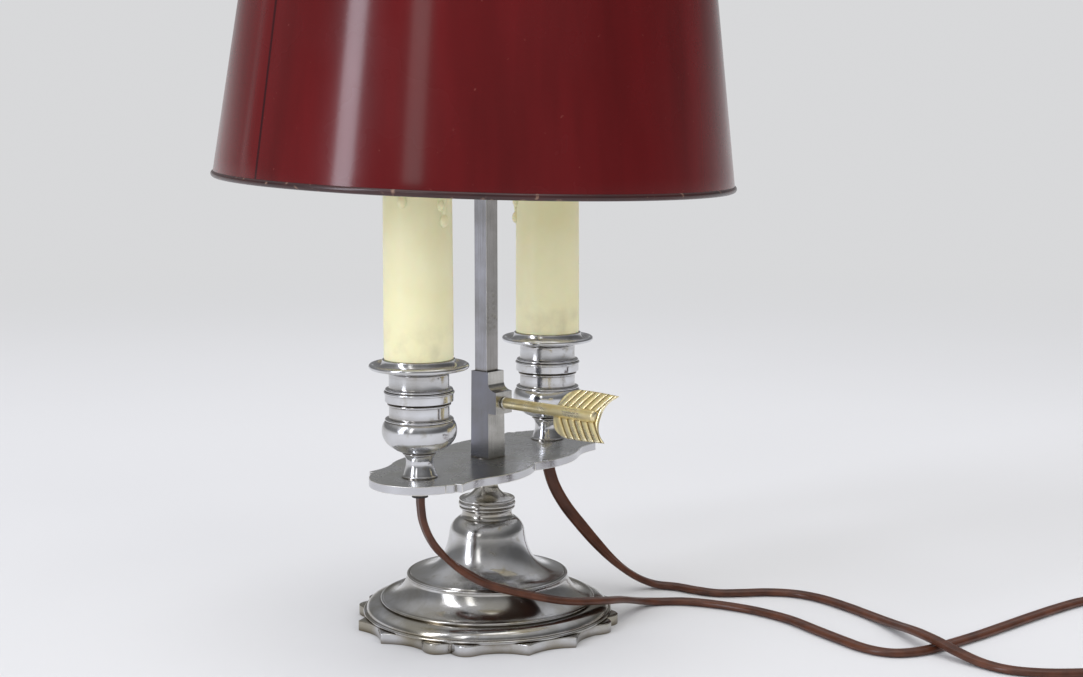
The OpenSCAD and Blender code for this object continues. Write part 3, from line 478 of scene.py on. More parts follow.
def makeNeck():
    ring, waist, flange, base, top, bore = neck.values()
    outline = [(bore, base), (10.9, base)]
    # a small base moulding under the rings
    outline += curvePoints((10.6, base + 0.4), (10, base + 1.4), (10, base + 2.6), (ring - 1, base + 3.5), 10)
    outline += arcPoints((ring - 0.9, base + 4.1), 0.6, -60, 60, 8)
    outline += arcPoints((ring - 1.1, base + 5.7), 1.1, -60, 60, 12)
    outline += arcPoints((ring - 0.8, base + 7.4), 0.6, -60, 90, 8)
    # the hollow down to the waist
    outline += curvePoints(
        (ring - 1.7, base + 8), (waist + 3.6, base + 8.5),
        (waist + 2.2, base + 9.6), (waist + 1.3, base + 10.6))
    outline += curvePoints(
        (waist + 1, base + 10.9), (waist + 0.5, base + 11.6), (waist, base + 12.6), (waist, base + 13.4), 8)
    # the flare up to the flange
    outline += curvePoints(
        (waist, top - 7), (waist, top - 4.6), (flange - 2, top - 3.2), (flange - 0.6, top - 2.8))
    outline += [(flange - 0.15, top - 2.6), (flange, top - 2.3), (flange, top), (bore, top), (bore, base)]
    return turnOnLathe("neck", outline, steps=96)


neckPiece = makeNeck()
print("neck turned")

# turned candle cups, over the ends of the arm plate
cups = {
    "spacing": 92.8,
    "plateTop": 68.3,
    "plateUnder": 65,
    "tail": 3.8,  # how far the threaded tail reaches below the plate
    "tailRadius": 4,
    "bore": 2.9,
    "foot": 7,
    "stem": 5.3,
    "bowl": 14.6,
    "ring": 13.3,
    "neck": 11.7,
    "band": 13.3,
    "pan": 112.7,
    "panRadius": 19.5,
    "tube": 13.5,
}


def overPlate(piece, name):  # the piece goes over the left end of the arm plate and a copy over the right end
    useOnly(piece)
    bpy.ops.object.duplicate()
    pair = piece, bpy.context.object
    for one, side, way in zip(pair, ("Left", "Right"), (-1, 1)):
        one.name = name + side
        one.data.transform(Matrix.Translation((way * cups["spacing"] / 2 * mm, 0, 0)))
    return pair


def makeCup():
    low, under, pan, r = cups["plateTop"], cups["plateUnder"] - cups["tail"], cups["pan"], cups["panRadius"]
    n, band, ring, bowl, stem, tube = (cups[k] for k in ("neck", "band", "ring", "bowl", "stem", "tube"))
    bore, tail, flange = cups["bore"], cups["tailRadius"], cups["foot"]
    # the foot and the stem
    outline = [(bore, under), (tail, under), (tail, low), (flange, low)]
    outline += arcPoints((flange - 0.3, low + 0.35), 0.3, -20, 90, 5)
    outline += curvePoints(
        (flange - 0.5, low + 0.9), (stem + 0.9, low + 2), (stem, low + 4), (stem, low + 5.8))
    outline += curvePoints(
        (stem, low + 6.4), (stem + 0.1, low + 7.6), (stem + 0.4, low + 8.4), (stem + 0.9, low + 8.9), 8)
    outline += arcPoints((stem + 1, low + 9.4), 0.42, -60, 90, 6)
    # the bowl and the ring at its top
    outline += curvePoints(
        (stem + 1.8, low + 10), (bowl - 3.2, low + 11.4), (bowl, low + 14.4), (bowl, low + 18.2), 20)
    outline += curvePoints(
        (bowl, low + 19), (bowl - 0.1, low + 20.6), (ring + 0.6, low + 21.6), (ring, low + 22.2), 10)
    outline += arcPoints((ring - 0.45, low + 22.8), 0.5, -60, 85, 8)
    outline += [(n + 0.3, low + 23.5)]
    outline += arcPoints((n + 0.3, low + 23.8), 0.3, 270, 180, 3)
    # the neck with its band between fine beads
    outline += [(n, low + 24.1), (n, pan - 16.3)]
    outline += arcPoints((n + 0.2, pan - 15.6), 0.5, -80, 80, 6)
    outline += [(n + 0.1, pan - 14.9), (band - 0.5, pan - 14.7)]
    outline += arcPoints((band - 0.4, pan - 14.2), 0.4, -60, 0, 4)
    outline += [(band, pan - 11.8)]
    outline += arcPoints((band - 0.15, pan - 11), 0.6, -70, 80, 8)
    outline += arcPoints((band - 0.6, pan - 9.9), 0.5, -70, 90, 8)
    outline += [(n + 0.3, pan - 9.2)]
    outline += arcPoints((n + 0.3, pan - 8.9), 0.3, 270, 180, 3)
    outline += [(n, pan - 4.6)]
    # the drip pan
    outline += curvePoints((n, pan - 4), (n + 0.3, pan - 2.8), (r - 5.4, pan - 2.9), (r - 2.4, pan - 2.1))
    outline += arcPoints((r - 1, pan - 0.8), 1, -70, 118, 16)
    outline += curvePoints(
        (r - 1.7, pan), (r - 2.2, pan - 0.3), (r - 2.6, pan - 0.7), (r - 3.2, pan - 0.8), 6)
    outline += curvePoints(
        (tube + 2.4, pan - 0.8), (tube + 1.4, pan - 0.6), (tube + 0.9, pan + 0.4), (tube + 0.7, pan + 1.7), 8)
    outline += arcPoints((tube + 0.45, pan + 1.75), 0.25, 0, 90, 4)
    # the socket that takes the tube, the lampholder and the threaded nipple
    outline += [(11.7, pan + 2), (11.7, pan - 1.6), (9.4, pan - 1.6), (9.4, pan - 12.4),
                (4.95, pan - 12.4), (4.95, pan - 20.2), (bore, pan - 20.2), (bore, under)]
    return turnOnLathe("cup", outline, steps=112)


cupLeft, cupRight = overPlate(makeCup(), "cup")
print("cups turned")

# candle tubes with drips of wax
candles = {
    "foot": 114.7,
    "height": 71.7,
    "radius": 13.5,
    "topRadius": 13.2,
    "wall": 1.2,
    # angle, length and bead radius of each drip of wax
    "Left": [(-170, 10.6, 2.2), (-103, 12, 2.0), (-96, 18, 2.3), (60, 13, 2.0), (-20, 8, 1.8)],
    "Right": [(128, 23, 2.3), (132, 16, 2.2), (-55, 6.5, 1.4), (-10, 11, 2.0), (35, 14, 2.0)],
    "dripSunk": 0.25,  # how far a drip's middle lies inside the tube's skin
    "dripRound": 0.92,
    "dripMesh": 0.3,
}


def makeDrip(x, angle, length, bead):
    top = candles["foot"] + candles["height"]
    out = candles["topRadius"] - candles["dripSunk"]
    across, along = onCircle(out, angle)
    parts = []
    # the bead at the end, a thinner neck and the spill at the tube's lip
    for size, tall, z in (
            (bead, 1.15 * bead, top - length),
            (0.78 * bead, 0.5 * length, top - 0.5 * length),
            (1.05 * bead, 1.1 * bead, top - 1.25 * bead)):
        thick = size * candles["dripRound"]
        bpy.ops.mesh.primitive_uv_sphere_add(
            segments=24, ring_count=16, radius=mm, location=((x + across) * mm, along * mm, z * mm),
            scale=(thick, thick, tall))
        bpy.ops.object.transform_apply(location=True, rotation=True, scale=True)
        parts.append(bpy.context.object)
    drip = joinAs("drip", parts)
    applyModifier("REMESH", mode="VOXEL", voxel_size=candles["dripMesh"] * mm)
    applyModifier("SMOOTH", iterations=6)
    bpy.ops.object.shade_smooth()
    return drip


def makeTube():
    z, top = candles["foot"], candles["foot"] + candles["height"]
    r, rTop, wall = candles["radius"], candles["topRadius"], candles["wall"]
    outline = [(r - wall, z), (r - 0.3, z), (r, z + 0.3), (r - 0.05, z + 20), (r - 0.12, z + 40)]
    # the lip is rolled out a little
    outline += [(rTop, top - 6)]
    outline += curvePoints(
        (rTop, top - 3), (rTop, top - 1.8), (rTop + 0.35, top - 1.4), (rTop + 0.35, top - 0.8), 6)
    outline += arcPoints((rTop - 0.15, top - 0.5), 0.5, 0, 110, 6)
    outline += arcPoints((rTop - 0.9, top - 0.4), 0.4, 60, 180, 5)
    outline += [(rTop - wall, top - 2), (r - wall, z + 10), (r - wall, z)]
    return turnOnLathe("tube", outline, steps=96)


def makeCandles():
    pair = []
    for tube, side, way in zip(overPlate(makeTube(), "tube"), ("Left", "Right"), (-1, 1)):
        startClean()
        drips = [makeDrip(way * cups["spacing"] / 2, *facts) for facts in candles[side]]
        pair.append(joinAs("candle" + side, [tube] + drips))
    return pair


candleLeft, candleRight = makeCandles()
print("candles made")

# clear candle bulbs with a stem and a zigzag filament
bulbs = {
    "glassFoot": 183.8,
    "radius": 17.5,
    "height": 72,
    "cap": 6.9,
    "glass": 0.7,
    "wire": 0.22,
    "filament": 0.16,
}


def makeBulb():
    z, r, h, cap, glass = (bulbs[k] for k in ("glassFoot", "radius", "height", "cap", "glass"))

    def skin(inset):
        return (
            curvePoints(
                (cap - 0.3 - inset, z), (cap + 1 - inset, z + 6), (r - inset, z + 9), (r - inset, z + 23), 16)
            + curvePoints(
                (r - inset, z + 26), (r - inset, z + 47), (7 - inset, z + 57),
                (2.4 - 0.5 * inset, z + 0.985 * h - inset), 20)
            + [(1.4 - 0.5 * inset, z + h - 0.6 - inset), (0, z + h - inset)])

    return turnOnLathe("bulb", skin(0) + skin(glass)[::-1] + [(cap - 0.3, z)], steps=64)


def makeFilament():
    z = bulbs["glassFoot"]
    outline = [(0, z - 6), (4.6, z - 6), (4.2, z - 1)]
    outline += curvePoints((3.4, z + 4), (1.8, z + 8), (1.5, z + 12), (1.5, z + 18), 8)
    outline += arcPoints((0, z + 18.4), 1.9, -40, 90, 8)
    stem = turnOnLathe("stem", outline, steps=32)
    lines = []
    for way in (-1, 1):
        leadIn = [(way * 1.2, 0, z - 4), (way * 1.4, 0, z + 10), (way * 3, 0, z + 20), (way * 7, 0, z + 30)]
        lines.append((leadIn, 1.2, bulbs["wire"]))
    zigzag = [(-7 + 2.8 * k, 0.6 * (-1) ** k, z + 30 + (2.2 if k % 2 else 0)) for k in range(6)]
    lines.append((zigzag, 0.6, bulbs["filament"]))
    wires = []
    for corners, spacing, thick in lines:
        ring = roundRing(thick, 45)
        wires.append(sweepTube(
            "wire", smoothRoute(corners, spacing), lambda i: ring, lambda spot: Vector((0, 1, 0))))
    return joinAs("filament", wires + [stem])


bulbLeft, bulbRight = overPlate(makeBulb(), "bulb")
filamentLeft, filamentRight = overPlate(makeFilament(), "filament")
print("bulbs blown")

# sheet-metal shade, rolled at both edges and lapped at a seam
shade = {
    "radius": 103.4,
    "topRadius": 86,
    "height": 130,
    "top": 311.5,
    "sheet": 0.8,
    "bead": 1.3,
    "lean": 1.9,
    "leanTo": -57.5,
    "pivot": 310,
    "seamAt": 158,  # degrees round the cone
    "seamWide": 4,
    "seamFade": 1.4,  # degrees over which the lap runs out to nothing
    "seamRise": 0.45,
}


def leanWithShade(piece):
    pivot = Matrix.Translation((0, 0, shade["pivot"] * mm))
    way = Matrix.Rotation(math.radians(shade["leanTo"]), 4, "Z")
    tip = Matrix.Rotation(math.radians(shade["lean"]), 4, "Y")
    piece.data.transform(pivot @ way @ tip @ way.inverted() @ pivot.inverted())


def makeShade():
    r, rTop, top, bead = (shade[k] for k in ("radius", "topRadius", "top", "bead"))
    low, half = top - shade["height"], shade["sheet"] / 2
    rises = [k / 24 for k in range(25)]
    outline = [(r - half, low + bead)]
    outline += arcPoints((r, low), bead, 108, 432, 22)
    outline += [(r + half + (rTop - r) * t, low + bead + (top - low - 2 * bead) * t) for t in rises]
    outline += arcPoints((rTop, top), bead, -72, 252, 22)
    outline += [(rTop - half + (r - rTop) * t, top - bead - (top - low - 2 * bead) * t) for t in rises]
    skin = turnOnLathe("shadeSkin", outline, steps=256, crease=40)
    # the outside of the cone stands out a little over the seam, and runs out to nothing
    wide, fade = shade["seamWide"], shade["seamFade"]
    for point in skin.data.vertices:
        radial = math.hypot(point.co.x, point.co.y)
        share = (point.co.z / mm - low) / shade["height"]
        past = (math.degrees(math.atan2(point.co.y, point.co.x)) - shade["seamAt"]) % 360
        if past < wide + fade + 0.2 and 0.02 < share < 0.98 and radial / mm > r + (rTop - r) * share:
            rise = shade["seamRise"] * min(1, max(0, 1 - (past - wide) / fade))
            point.co.x *= 1 + rise * mm / radial
            point.co.y *= 1 + rise * mm / radial
    # the rolled edges take the second finish and the inside takes the third
    for face in skin.data.polygons:
        level = face.center.z / mm
        if min(abs(level - low), abs(level - top)) < bead - 0.05:
            face.material_index = 1
        elif face.normal.x * face.center.x + face.normal.y * face.center.y < 0:
            face.material_index = 2
    return skin


shadeSkin = makeShade()
leanWithShade(shadeSkin)
print("shade spun")

# turned knob that holds the shade down
finial = {"seat": 312.7, "bore": 3, "boreDepth": 10, "base": 6.9, "waist": 3.6, "swell": 9, "ball": 2.6}


def makeFinial():
    z, bore, depth, base, waist, swell, ball = finial.values()
    outline = [(bore, z), (base, z)] + arcPoints((base + 0.1, z + 0.9), 0.5, -60, 60, 6)
    outline += curvePoints(
        (base - 0.2, z + 1.9), (waist + 0.4, z + 2.4), (waist, z + 3.6), (waist, z + 5.4), 8)
    outline += arcPoints((waist + 0.8, z + 6.4), 0.8, -80, 80, 8)
    outline += curvePoints(
        (waist + 0.6, z + 7.5), (swell - 1.6, z + 8.6), (swell, z + 12), (swell - 0.2, z + 15), 12)
    outline += curvePoints(
        (swell - 0.4, z + 15.8), (swell - 1, z + 19.4), (ball + 1.4, z + 21), (ball, z + 23), 12)
    outline += arcPoints((0, z + 24.4), ball, -20, 90, 12)
    outline += [(0, z + depth), (bore, z + depth), (bore, z)]
    return turnOnLathe("finialKnob", outline, steps=64)


finialKnob = makeFinial()
print("finial turned")

# brass arrow that turns the clamp screw, modelled along its own shaft from 0 up
arrow = {
    "level": 91.7,
    "start": 10.7,  # where the shaft begins, from the rod's axis
    "turn": -9,
    "roll": 27,
    "radius": 2.25,
    "tailRadius": 2.4,
    "length": 47.7,
    "flightStart": 25.7,
    "shoulder": 14,  # from the flight's start to its widest place
    "notch": 48.9,
    "tip": 54.6,
    "half": 10.2,
    "thick": 1.5,
    "edgeRound": 0.8,
    "behind": 1.0,  # how far the flight sits behind the shaft's middle
    "firstGroove": 2.8,
    "grooves": 6,
    "grooveGap": 3.4,
    "grooveHalf": 0.28,
    "grooveDark": 0.36,  # half width of the brown line in a groove
    "grooveDepth": 0.42,  # as a share of the flight's thickness
    "ribCrown": 0.14,
    "slant": (0.577, 0.021),  # how far a groove runs back towards the edge, and how it bends
}


def between(table, key):  # reads a value off a list of (key, value) pairs that rises in key
    for (k0, v0), (k1, v1) in zip(table, table[1:]):
        if key <= k1:
            return v0 + (v1 - v0) * (key - k0) / max(k1 - k0, 1e-9)
    return table[-1][1]


def makeFlight():
    x0, notch, tip, w, shoulder = (arrow[k] for k in ("flightStart", "notch", "tip", "half", "shoulder"))
    gap, lean, bend = arrow["grooveGap"], *arrow["slant"]
    # where the flight begins and ends at each share of its half width
    start = curvePoints((x0, 1.5), (x0 + 1, 0.62 * w), (x0 + 3.4, 0.93 * w), (x0 + 10.5, 0.98 * w), 40)
    end = curvePoints(
        (notch, 0.18 * w), (notch + 0.4, 0.45 * w), (tip - 4, 0.66 * w), (tip - 0.8, 0.88 * w), 40)
    front = [(0, x0)] + [(y / (0.98 * w), x) for x, y in start]
    rear = [(0, notch)] + [(y / (0.95 * w), x) for x, y in end] + [(1, tip)]

    def spot(u, v, face):  # a place on the flight and how deep in a groove it lies
        share = abs(v)
        xFront, xRear = between(front, share), between(rear, share)
        x = xFront + (xRear - xFront) * u
        past = max(0, x - x0 - shoulder) / (tip - x0 - shoulder)
        y = share * w * (1 - 0.02 * max(0, 1 - (x - x0) / shoulder) - 0.05 * past ** 2)
        inside = min((1 - share) * w, (x - xFront) * 0.8, (xRear - x) * 0.75) / arrow["edgeRound"]
        rounded = math.sqrt(1 - (1 - min(1, max(0, inside))) ** 2)
        along = (x - lean * y - bend * y * y - x0 - arrow["firstGroove"]) / gap
        nearest = min(max(round(along), 0), arrow["grooves"] - 1)
        off = abs(along - nearest) * gap
        cut = arrow["grooveDepth"] * math.exp(-(off / arrow["grooveHalf"]) ** 2)
        crown = arrow["ribCrown"] * math.sin(math.pi * (along - math.floor(along)))
        high = arrow["thick"] / 2 * rounded * (0.86 + crown - cut)
        dark = min(1, 1.1 * math.exp(-(off / arrow["grooveDark"]) ** 2))
        return Vector((face * high, math.copysign(y, v), x)) * mm, dark

    faces = []
    for face in (-1, 1):
        startClean()
        bpy.ops.mesh.primitive_grid_add(x_subdivisions=200, y_subdivisions=92, size=2)
        grid = bpy.context.object
        lined = grid.data.attributes.new("groove", "FLOAT", "POINT")
        for point in grid.data.vertices:
            point.co, lined.data[point.index].value = spot(
                (point.co.x + 1) / 2, math.sin(point.co.y * math.pi / 2), face)
        faces.append(grid)
    flight = joinAs("flight", faces)
    flight.data.transform(Matrix.Translation((arrow["behind"] * mm, 0, 0)))
    bpy.ops.object.mode_set(mode="EDIT")
    sealMesh(weld=0.008)
    smoothUpTo(60)
    return flight


def makeArrow():
    r, tail, reach = arrow["radius"], arrow["tailRadius"], arrow["length"]
    outline = [(0, 0), (r - 0.25, 0), (r, 0.3), (r, 6), (r + 0.05, 20), (tail, 40), (tail, reach - 1.4)]
    outline += arcPoints((tail - 1.2, reach - 1.3), 1.2, 0, 80, 8)
    outline += [(0, reach)]
    shaft = turnOnLathe("shaft", outline, steps=48)
    piece = joinAs("arrowKey", [shaft, makeFlight()])
    piece.data.transform(
        Matrix.Rotation(math.radians(arrow["turn"]), 4, "Z")
        @ Matrix.Translation((0, -arrow["start"] * mm, arrow["level"] * mm))
        @ Matrix.Rotation(math.radians(90), 4, "X")
        @ Matrix.Rotation(math.radians(-arrow["roll"]), 4, "Z"))
    return piece


arrowKey = makeArrow()
print("arrow made")

# sleeves that ease the cords out of the switch and the plug, and the tie of the coil
sleeves = {
    "lead": {"length": 24, "wide": 4.4, "narrow": 3.0, "ribs": 6},
    "flex": {"length": 20, "across": 2.95, "thickWide": 2.5, "thickNarrow": 1.7, "ribs": 5},
    "spacing": 0.22,
    "ribbed": (0.1, 0.94),  # shares of the length between which the ribs lie
    "groove": 0.36,
    "lip": (0.985, 0.25),  # share from which the end is turned down, and how far
}

tie = {
    "at": 205,  # degrees round the coil
    "middle": 31,  # from the coil's centre
    "level": 5.3,
    "reach": 8.1,
    "halfHeight": 4.95,
    "halfWidth": 3.5,
    "halfThick": 0.3,
}


def makeSleeve(name, route, ringAtShare, ribs):
    fine = smoothRoute(route, sleeves["spacing"])
    whole = routeLength(fine)
    first, last = sleeves["ribbed"]
    lip, turnedDown = sleeves["lip"]
    shares = []
    gone = 0
    for i, spot in enumerate(fine):
        gone += (spot - fine[i - 1]).length if i else 0
        shares.append(gone / whole)

    def ringAt(i):
        share = shares[i]
        groove = 0
        if first < share < last:
            wave = math.sin((share - first) / (last - first) * ribs * 2 * math.pi)
            groove = sleeves["groove"] * max(0, wave) ** 0.6
        if share > lip:
            groove = turnedDown
        return ringAtShare(share, groove)

    return sweepTube(name, fine, ringAt, upright)


def stretch(route, reach, fromEnd=False):  # the first or last few millimetres of a route
    points = list(reversed(route)) if fromEnd else list(route)
    kept = [points[0]]
    gone = 0
    for a, b in zip(points, points[1:]):
        step = (b - a).length
        if gone + step >= reach:
            kept.append(a + (b - a) * ((reach - gone) / step))
            break
        kept.append(b)
        gone += step
    return kept


def squared(value, power):  # pulls a circle's ring towards a rectangle with round corners
    return math.copysign(abs(value) ** power, value)


def leadSleeve(name, fromEnd):
    facts = sleeves["lead"]

    def ring(share, groove):
        return roundRing(facts["wide"] + (facts["narrow"] - facts["wide"]) * share - groove, 12)

    return makeSleeve(name, stretch(leadRoute, facts["length"], fromEnd), ring, facts["ribs"])


def flexSleeve(name, route):
    facts = sleeves["flex"]

    def ring(share, groove):
        high = facts["thickWide"] + (facts["thickNarrow"] - facts["thickWide"]) * share - groove
        wide = facts["across"] - 0.1 * share
        return [(wide * squared(c, 0.6), high * squared(s, 0.8)) for c, s in roundRing(1, 12)]

    return makeSleeve(name, stretch(route, facts["length"], fromEnd=True), ring, facts["ribs"])


def makeTie():
    out, up = Vector((*onCircle(1, tie["at"]), 0)), Vector((0, 0, 1))
    middle = Vector((*lead["coilCentre"], tie["level"])) + out * tie["middle"]
    loop = []
    for angle in range(0, 361, 10):
        c, s = onCircle(1, angle)
        loop.append(middle + out * tie["reach"] * squared(c, 0.5) + up * tie["halfHeight"] * squared(s, 0.5))
    thick, wide = tie["halfThick"], tie["halfWidth"]
    ring = [(-thick, -wide), (-thick, wide), (thick, wide), (thick, -wide)]
    way = out.cross(up)
    return sweepTube("coilTie", loop, lambda i: ring, lambda spot: way)


switchSleeve = leadSleeve("switchSleeve", fromEnd=False)
plugSleeve = leadSleeve("plugSleeve", fromEnd=True)
sleeveLeft = flexSleeve("sleeveLeft", leftRoute)
sleeveRight = flexSleeve("sleeveRight", rightRoute)
coilTie = makeTie()
print("sleeves moulded")

# pieces that keep the frame's shape: their names here and how far their edges are rounded
eased = {
    "arm_plate": ("armPlate", 0.45),
    "socket_block": ("socketBlock", 0.55),
    "rod": ("squareRod", 0.5),
    "clamp_screw": ("clampScrew", 0.2),
    "shade_carrier": ("shadeCarrier", 0.25),
    "cup_nuts": ("cupNuts", 0.35),
    "base_nut": ("baseNut", 0.35),
    "seat_washer": ("seatWasher", 0.3),
    "switch_base": ("switchBase", 0.8),
    "switch_cover": ("switchCover", 0.6),
    "switch_rocker": ("switchRocker", 0.5),
    "plug_body": ("plugBody", 1.6),
    "plug_pins": ("plugPins", 0.3),
}
# these pieces' rounded edges are worn bright and whitened further as a painted highlight
wornAndLitEdgeNodes = ("arm_plate", "socket_block", "rod")  # their rounded edges are worn bright


def softCopy(node, name, width):
    useOnly(frame["nodes"][node])
    bpy.ops.object.duplicate()
    piece = bpy.context.object
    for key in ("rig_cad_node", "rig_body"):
        if key in piece:
            del piece[key]
    piece.parent = None
    piece.name = name
    bpy.ops.object.mode_set(mode="EDIT")
    bpy.ops.mesh.select_mode(type="FACE")
    bpy.ops.mesh.select_all(action="SELECT")
    bpy.ops.mesh.customdata_custom_splitnormals_clear()
    bpy.ops.mesh.remove_doubles(threshold=0.005 * mm)
    bpy.ops.mesh.dissolve_limited(angle_limit=math.radians(0.6))
    bpy.ops.object.mode_set(mode="OBJECT")
    while node in wornAndLitEdgeNodes and len(piece.data.materials) < 2:
        piece.data.materials.append(None)
    easeEdges(width, 3 if width > 0.4 else 2, 30, edgeSlot=1 if node in wornAndLitEdgeNodes else -1)
    smoothUpTo(35)
    applyModifier("WEIGHTED_NORMAL", keep_sharp=True)  # flat faces stay flat beside their rounded edges
    return piece


easedPieces = {node: softCopy(node, *facts) for node, facts in eased.items()}
print("edges eased")


def hexColour(code):
    parts = [int(code[i:i + 2], 16) / 255 for i in (1, 3, 5)]
    return [p / 12.92 if p <= 0.04045 else ((p + 0.055) / 1.055) ** 2.4 for p in parts] + [1]


def scaleOf(*sizes):  # texture scale at which a pattern's marks are so many millimetres across
    scales = [1 / (size * mm) for size in sizes]
    return scales if len(scales) > 1 else scales[0]


def addNode(tree, kind, links=(), stops=(), **settings):
    # links go to sockets by name, or by number from 0 up: a node stands for its first output in use, and
    # a hex code for its colour. Stops are the places of a ramp, each with a colour or a grey
    node = tree.nodes.new("ShaderNode" + kind)
    for name, value in settings.items():
        setattr(node, name, value)
    for socket, value in links.items() if isinstance(links, dict) else enumerate(links):
        if isinstance(value, bpy.types.Node):
            value = next(output for output in value.outputs if output.enabled)
        if isinstance(value, bpy.types.NodeSocket):
            tree.links.new(value, node.inputs[socket])
        else:
            node.inputs[socket].default_value = hexColour(value) if isinstance(value, str) else value
    for i, (place, colour) in enumerate(stops):
        elements = node.color_ramp.elements
        element = elements[i] if i < len(elements) else elements.new(place)
        element.position = place
        element.color = hexColour(colour) if isinstance(colour, str) else (colour, colour, colour, 1)
    return node


def startFinish(name):
    finish = bpy.data.materials.new(name)
    finish.use_nodes = True
    tree = finish.node_tree
    tree.nodes.clear()
    return finish, tree, addNode(tree, "TexCoord").outputs["Object"]


def tarnished(tree, colour, tarnish, reach, power):
    # the grooves hold old polish and tarnish, and the open surfaces are rubbed clean
    clean = addNode(tree, "AmbientOcclusion", {"Distance": reach * mm}, samples=8).outputs["AO"]
    rubbed = addNode(tree, "Math", (clean, power), operation="POWER")
    return addNode(tree, "Mix", {0: rubbed, 6: tarnish, 7: colour}, data_type="RGBA")


silverLook = {
    "patches": ("#DCDDE1", "#C3C2C1"),
    "patchSize": 18.2,
    "stain": "#92886A",
    "stainSize": 4.17,
    "tarnish": "#5F5033",
    "tarnishReach": 2.6,
    "latheMarks": (25, 25, 0.385),  # drawn as coarse as they need to show
}


def turnedSilver(name):
    # worn silver plate, bright on the swellings, cool grey, with yellow-brown tarnish in the turned grooves
    look = silverLook
    finish, tree, where = startFinish(name)
    cloud = addNode(tree, "TexNoise", {"Vector": where, "Scale": scaleOf(look["patchSize"]), "Detail": 4})
    bloom = addNode(tree, "TexNoise", {"Vector": where, "Scale": scaleOf(look["stainSize"]), "Detail": 6})
    clear = addNode(tree, "ValToRGB", {"Fac": cloud}, zip((0.35, 0.68), look["patches"]))
    # the foot is stained low down, and the neck is hard to reach with a cloth
    level = addNode(tree, "SeparateXYZ", (where,)).outputs["Z"]
    tenths = addNode(tree, "Math", (level, 10), operation="MULTIPLY")
    reached = addNode(tree, "ValToRGB", {"Fac": tenths}, [
        (0.06, 0.6), (0.3, 0.1), (0.41, 0.25), (0.46, 0.9), (0.6, 0.9), (0.66, 0.0)])
    patchy = addNode(tree, "MapRange", (cloud, 0.38, 0.6, 0.25, 1))
    handled = addNode(tree, "Math", (reached, patchy), operation="MULTIPLY")
    blooms = addNode(tree, "MapRange", (bloom, 0.58, 0.78, 0, 0.6))
    stain = addNode(tree, "Math", (blooms, handled), operation="MAXIMUM")
    spotted = addNode(tree, "Mix", {0: stain, 6: clear, 7: look["stain"]}, data_type="RGBA")
    dull = addNode(tree, "Math", (
        addNode(tree, "MapRange", (cloud, 0.35, 0.7, 0.1, 0.2)),
        addNode(tree, "MapRange", (bloom, 0.5, 0.8, 0, 0.14))), operation="ADD")
    along = addNode(tree, "Mapping", {"Vector": where, "Scale": scaleOf(*look["latheMarks"])})
    marks = addNode(tree, "TexNoise", {"Vector": along, "Scale": 1, "Detail": 2})
    shader = addNode(tree, "BsdfPrincipled", {
        "Base Color": tarnished(tree, spotted, look["tarnish"], look["tarnishReach"], 1.8),
        "Metallic": 1,
        "Roughness": dull,
        "Normal": addNode(tree, "Bump", {"Height": marks, "Strength": 0.1, "Distance": 0.02 * mm}),
    })
    addNode(tree, "OutputMaterial", {"Surface": shader})
    return finish


plateLook = {
    "top": ("#E2E3E4", "#C8C8C5"),
    "side": "#C9C9CC",
    "patchSize": 14.3,
    "pits": "#8D8B84",
    "pitSize": 0.77,
    "tarnish": "#6F654C",
    "tarnishReach": 2.2,
}


def satinSilver(name):
    # filed and rubbed plate: a grainy grey top that is dull from wear, and smoother, clearer sides
    look = plateLook
    finish, tree, where = startFinish(name)
    facing = addNode(tree, "TexCoord").outputs["Normal"]
    rise = addNode(tree, "SeparateXYZ", (facing,)).outputs["Z"]
    steep = addNode(tree, "Math", (rise,), operation="ABSOLUTE")
    flat = addNode(tree, "MapRange", (steep, 0.8, 0.97, 0, 1))
    cloud = addNode(tree, "TexNoise", {"Vector": where, "Scale": scaleOf(look["patchSize"]), "Detail": 6})
    grain = addNode(tree, "TexNoise", {"Vector": where, "Scale": scaleOf(look["pitSize"]), "Detail": 3})
    top = addNode(tree, "ValToRGB", {"Fac": cloud}, zip((0.35, 0.68), look["top"]))
    pits = addNode(tree, "MapRange", (grain, 0.55, 0.75, 0, 0.5))
    pitted = addNode(tree, "Mix", {0: pits, 6: top, 7: look["pits"]}, data_type="RGBA")
    surface = addNode(tree, "Mix", {0: flat, 6: look["side"], 7: pitted}, data_type="RGBA")
    dull = addNode(tree, "Math", (
        addNode(tree, "MapRange", (flat, 0, 1, 0.16, 0.24)),
        addNode(tree, "MapRange", (cloud, 0.3, 0.75, -0.03, 0.1))), operation="ADD")
    shader = addNode(tree, "BsdfPrincipled", {
        "Base Color": tarnished(tree, surface, look["tarnish"], look["tarnishReach"], 1.2),
        "Metallic": 1,
        "Roughness": dull,
        "Normal": addNode(tree, "Bump", {"Height": grain, "Strength": 0.28, "Distance": 0.05 * mm}),
    })
    addNode(tree, "OutputMaterial", {"Surface": shader})
    return finish


barLook = {
    # painted light and shade: each pair below gives a bar's side tone and front tone, set by how the light
    # falls on each face
    "rod": ("#B4B4BC", "#A3A09E"),  # the tone of its sides and of its front
    "block": ("#84858F", "#CCCAC5"),
    "patchSize": 15.4,
    "hairs": (0.667, 0.667, 25),  # brushed along the length, drawn as coarse as they need to show
    "rubbedDark": "#77756F",
    "scar": "#8E8B84",
    "scarSize": 2.38,
    "scarFrom": (0.119, 0.123),  # level at which the screw's marks start and are full, in metres
    "scarTo": (0.134, 0.139),
    "tarnish": "#6F654C",
    "tarnishReach": 1.6,
}


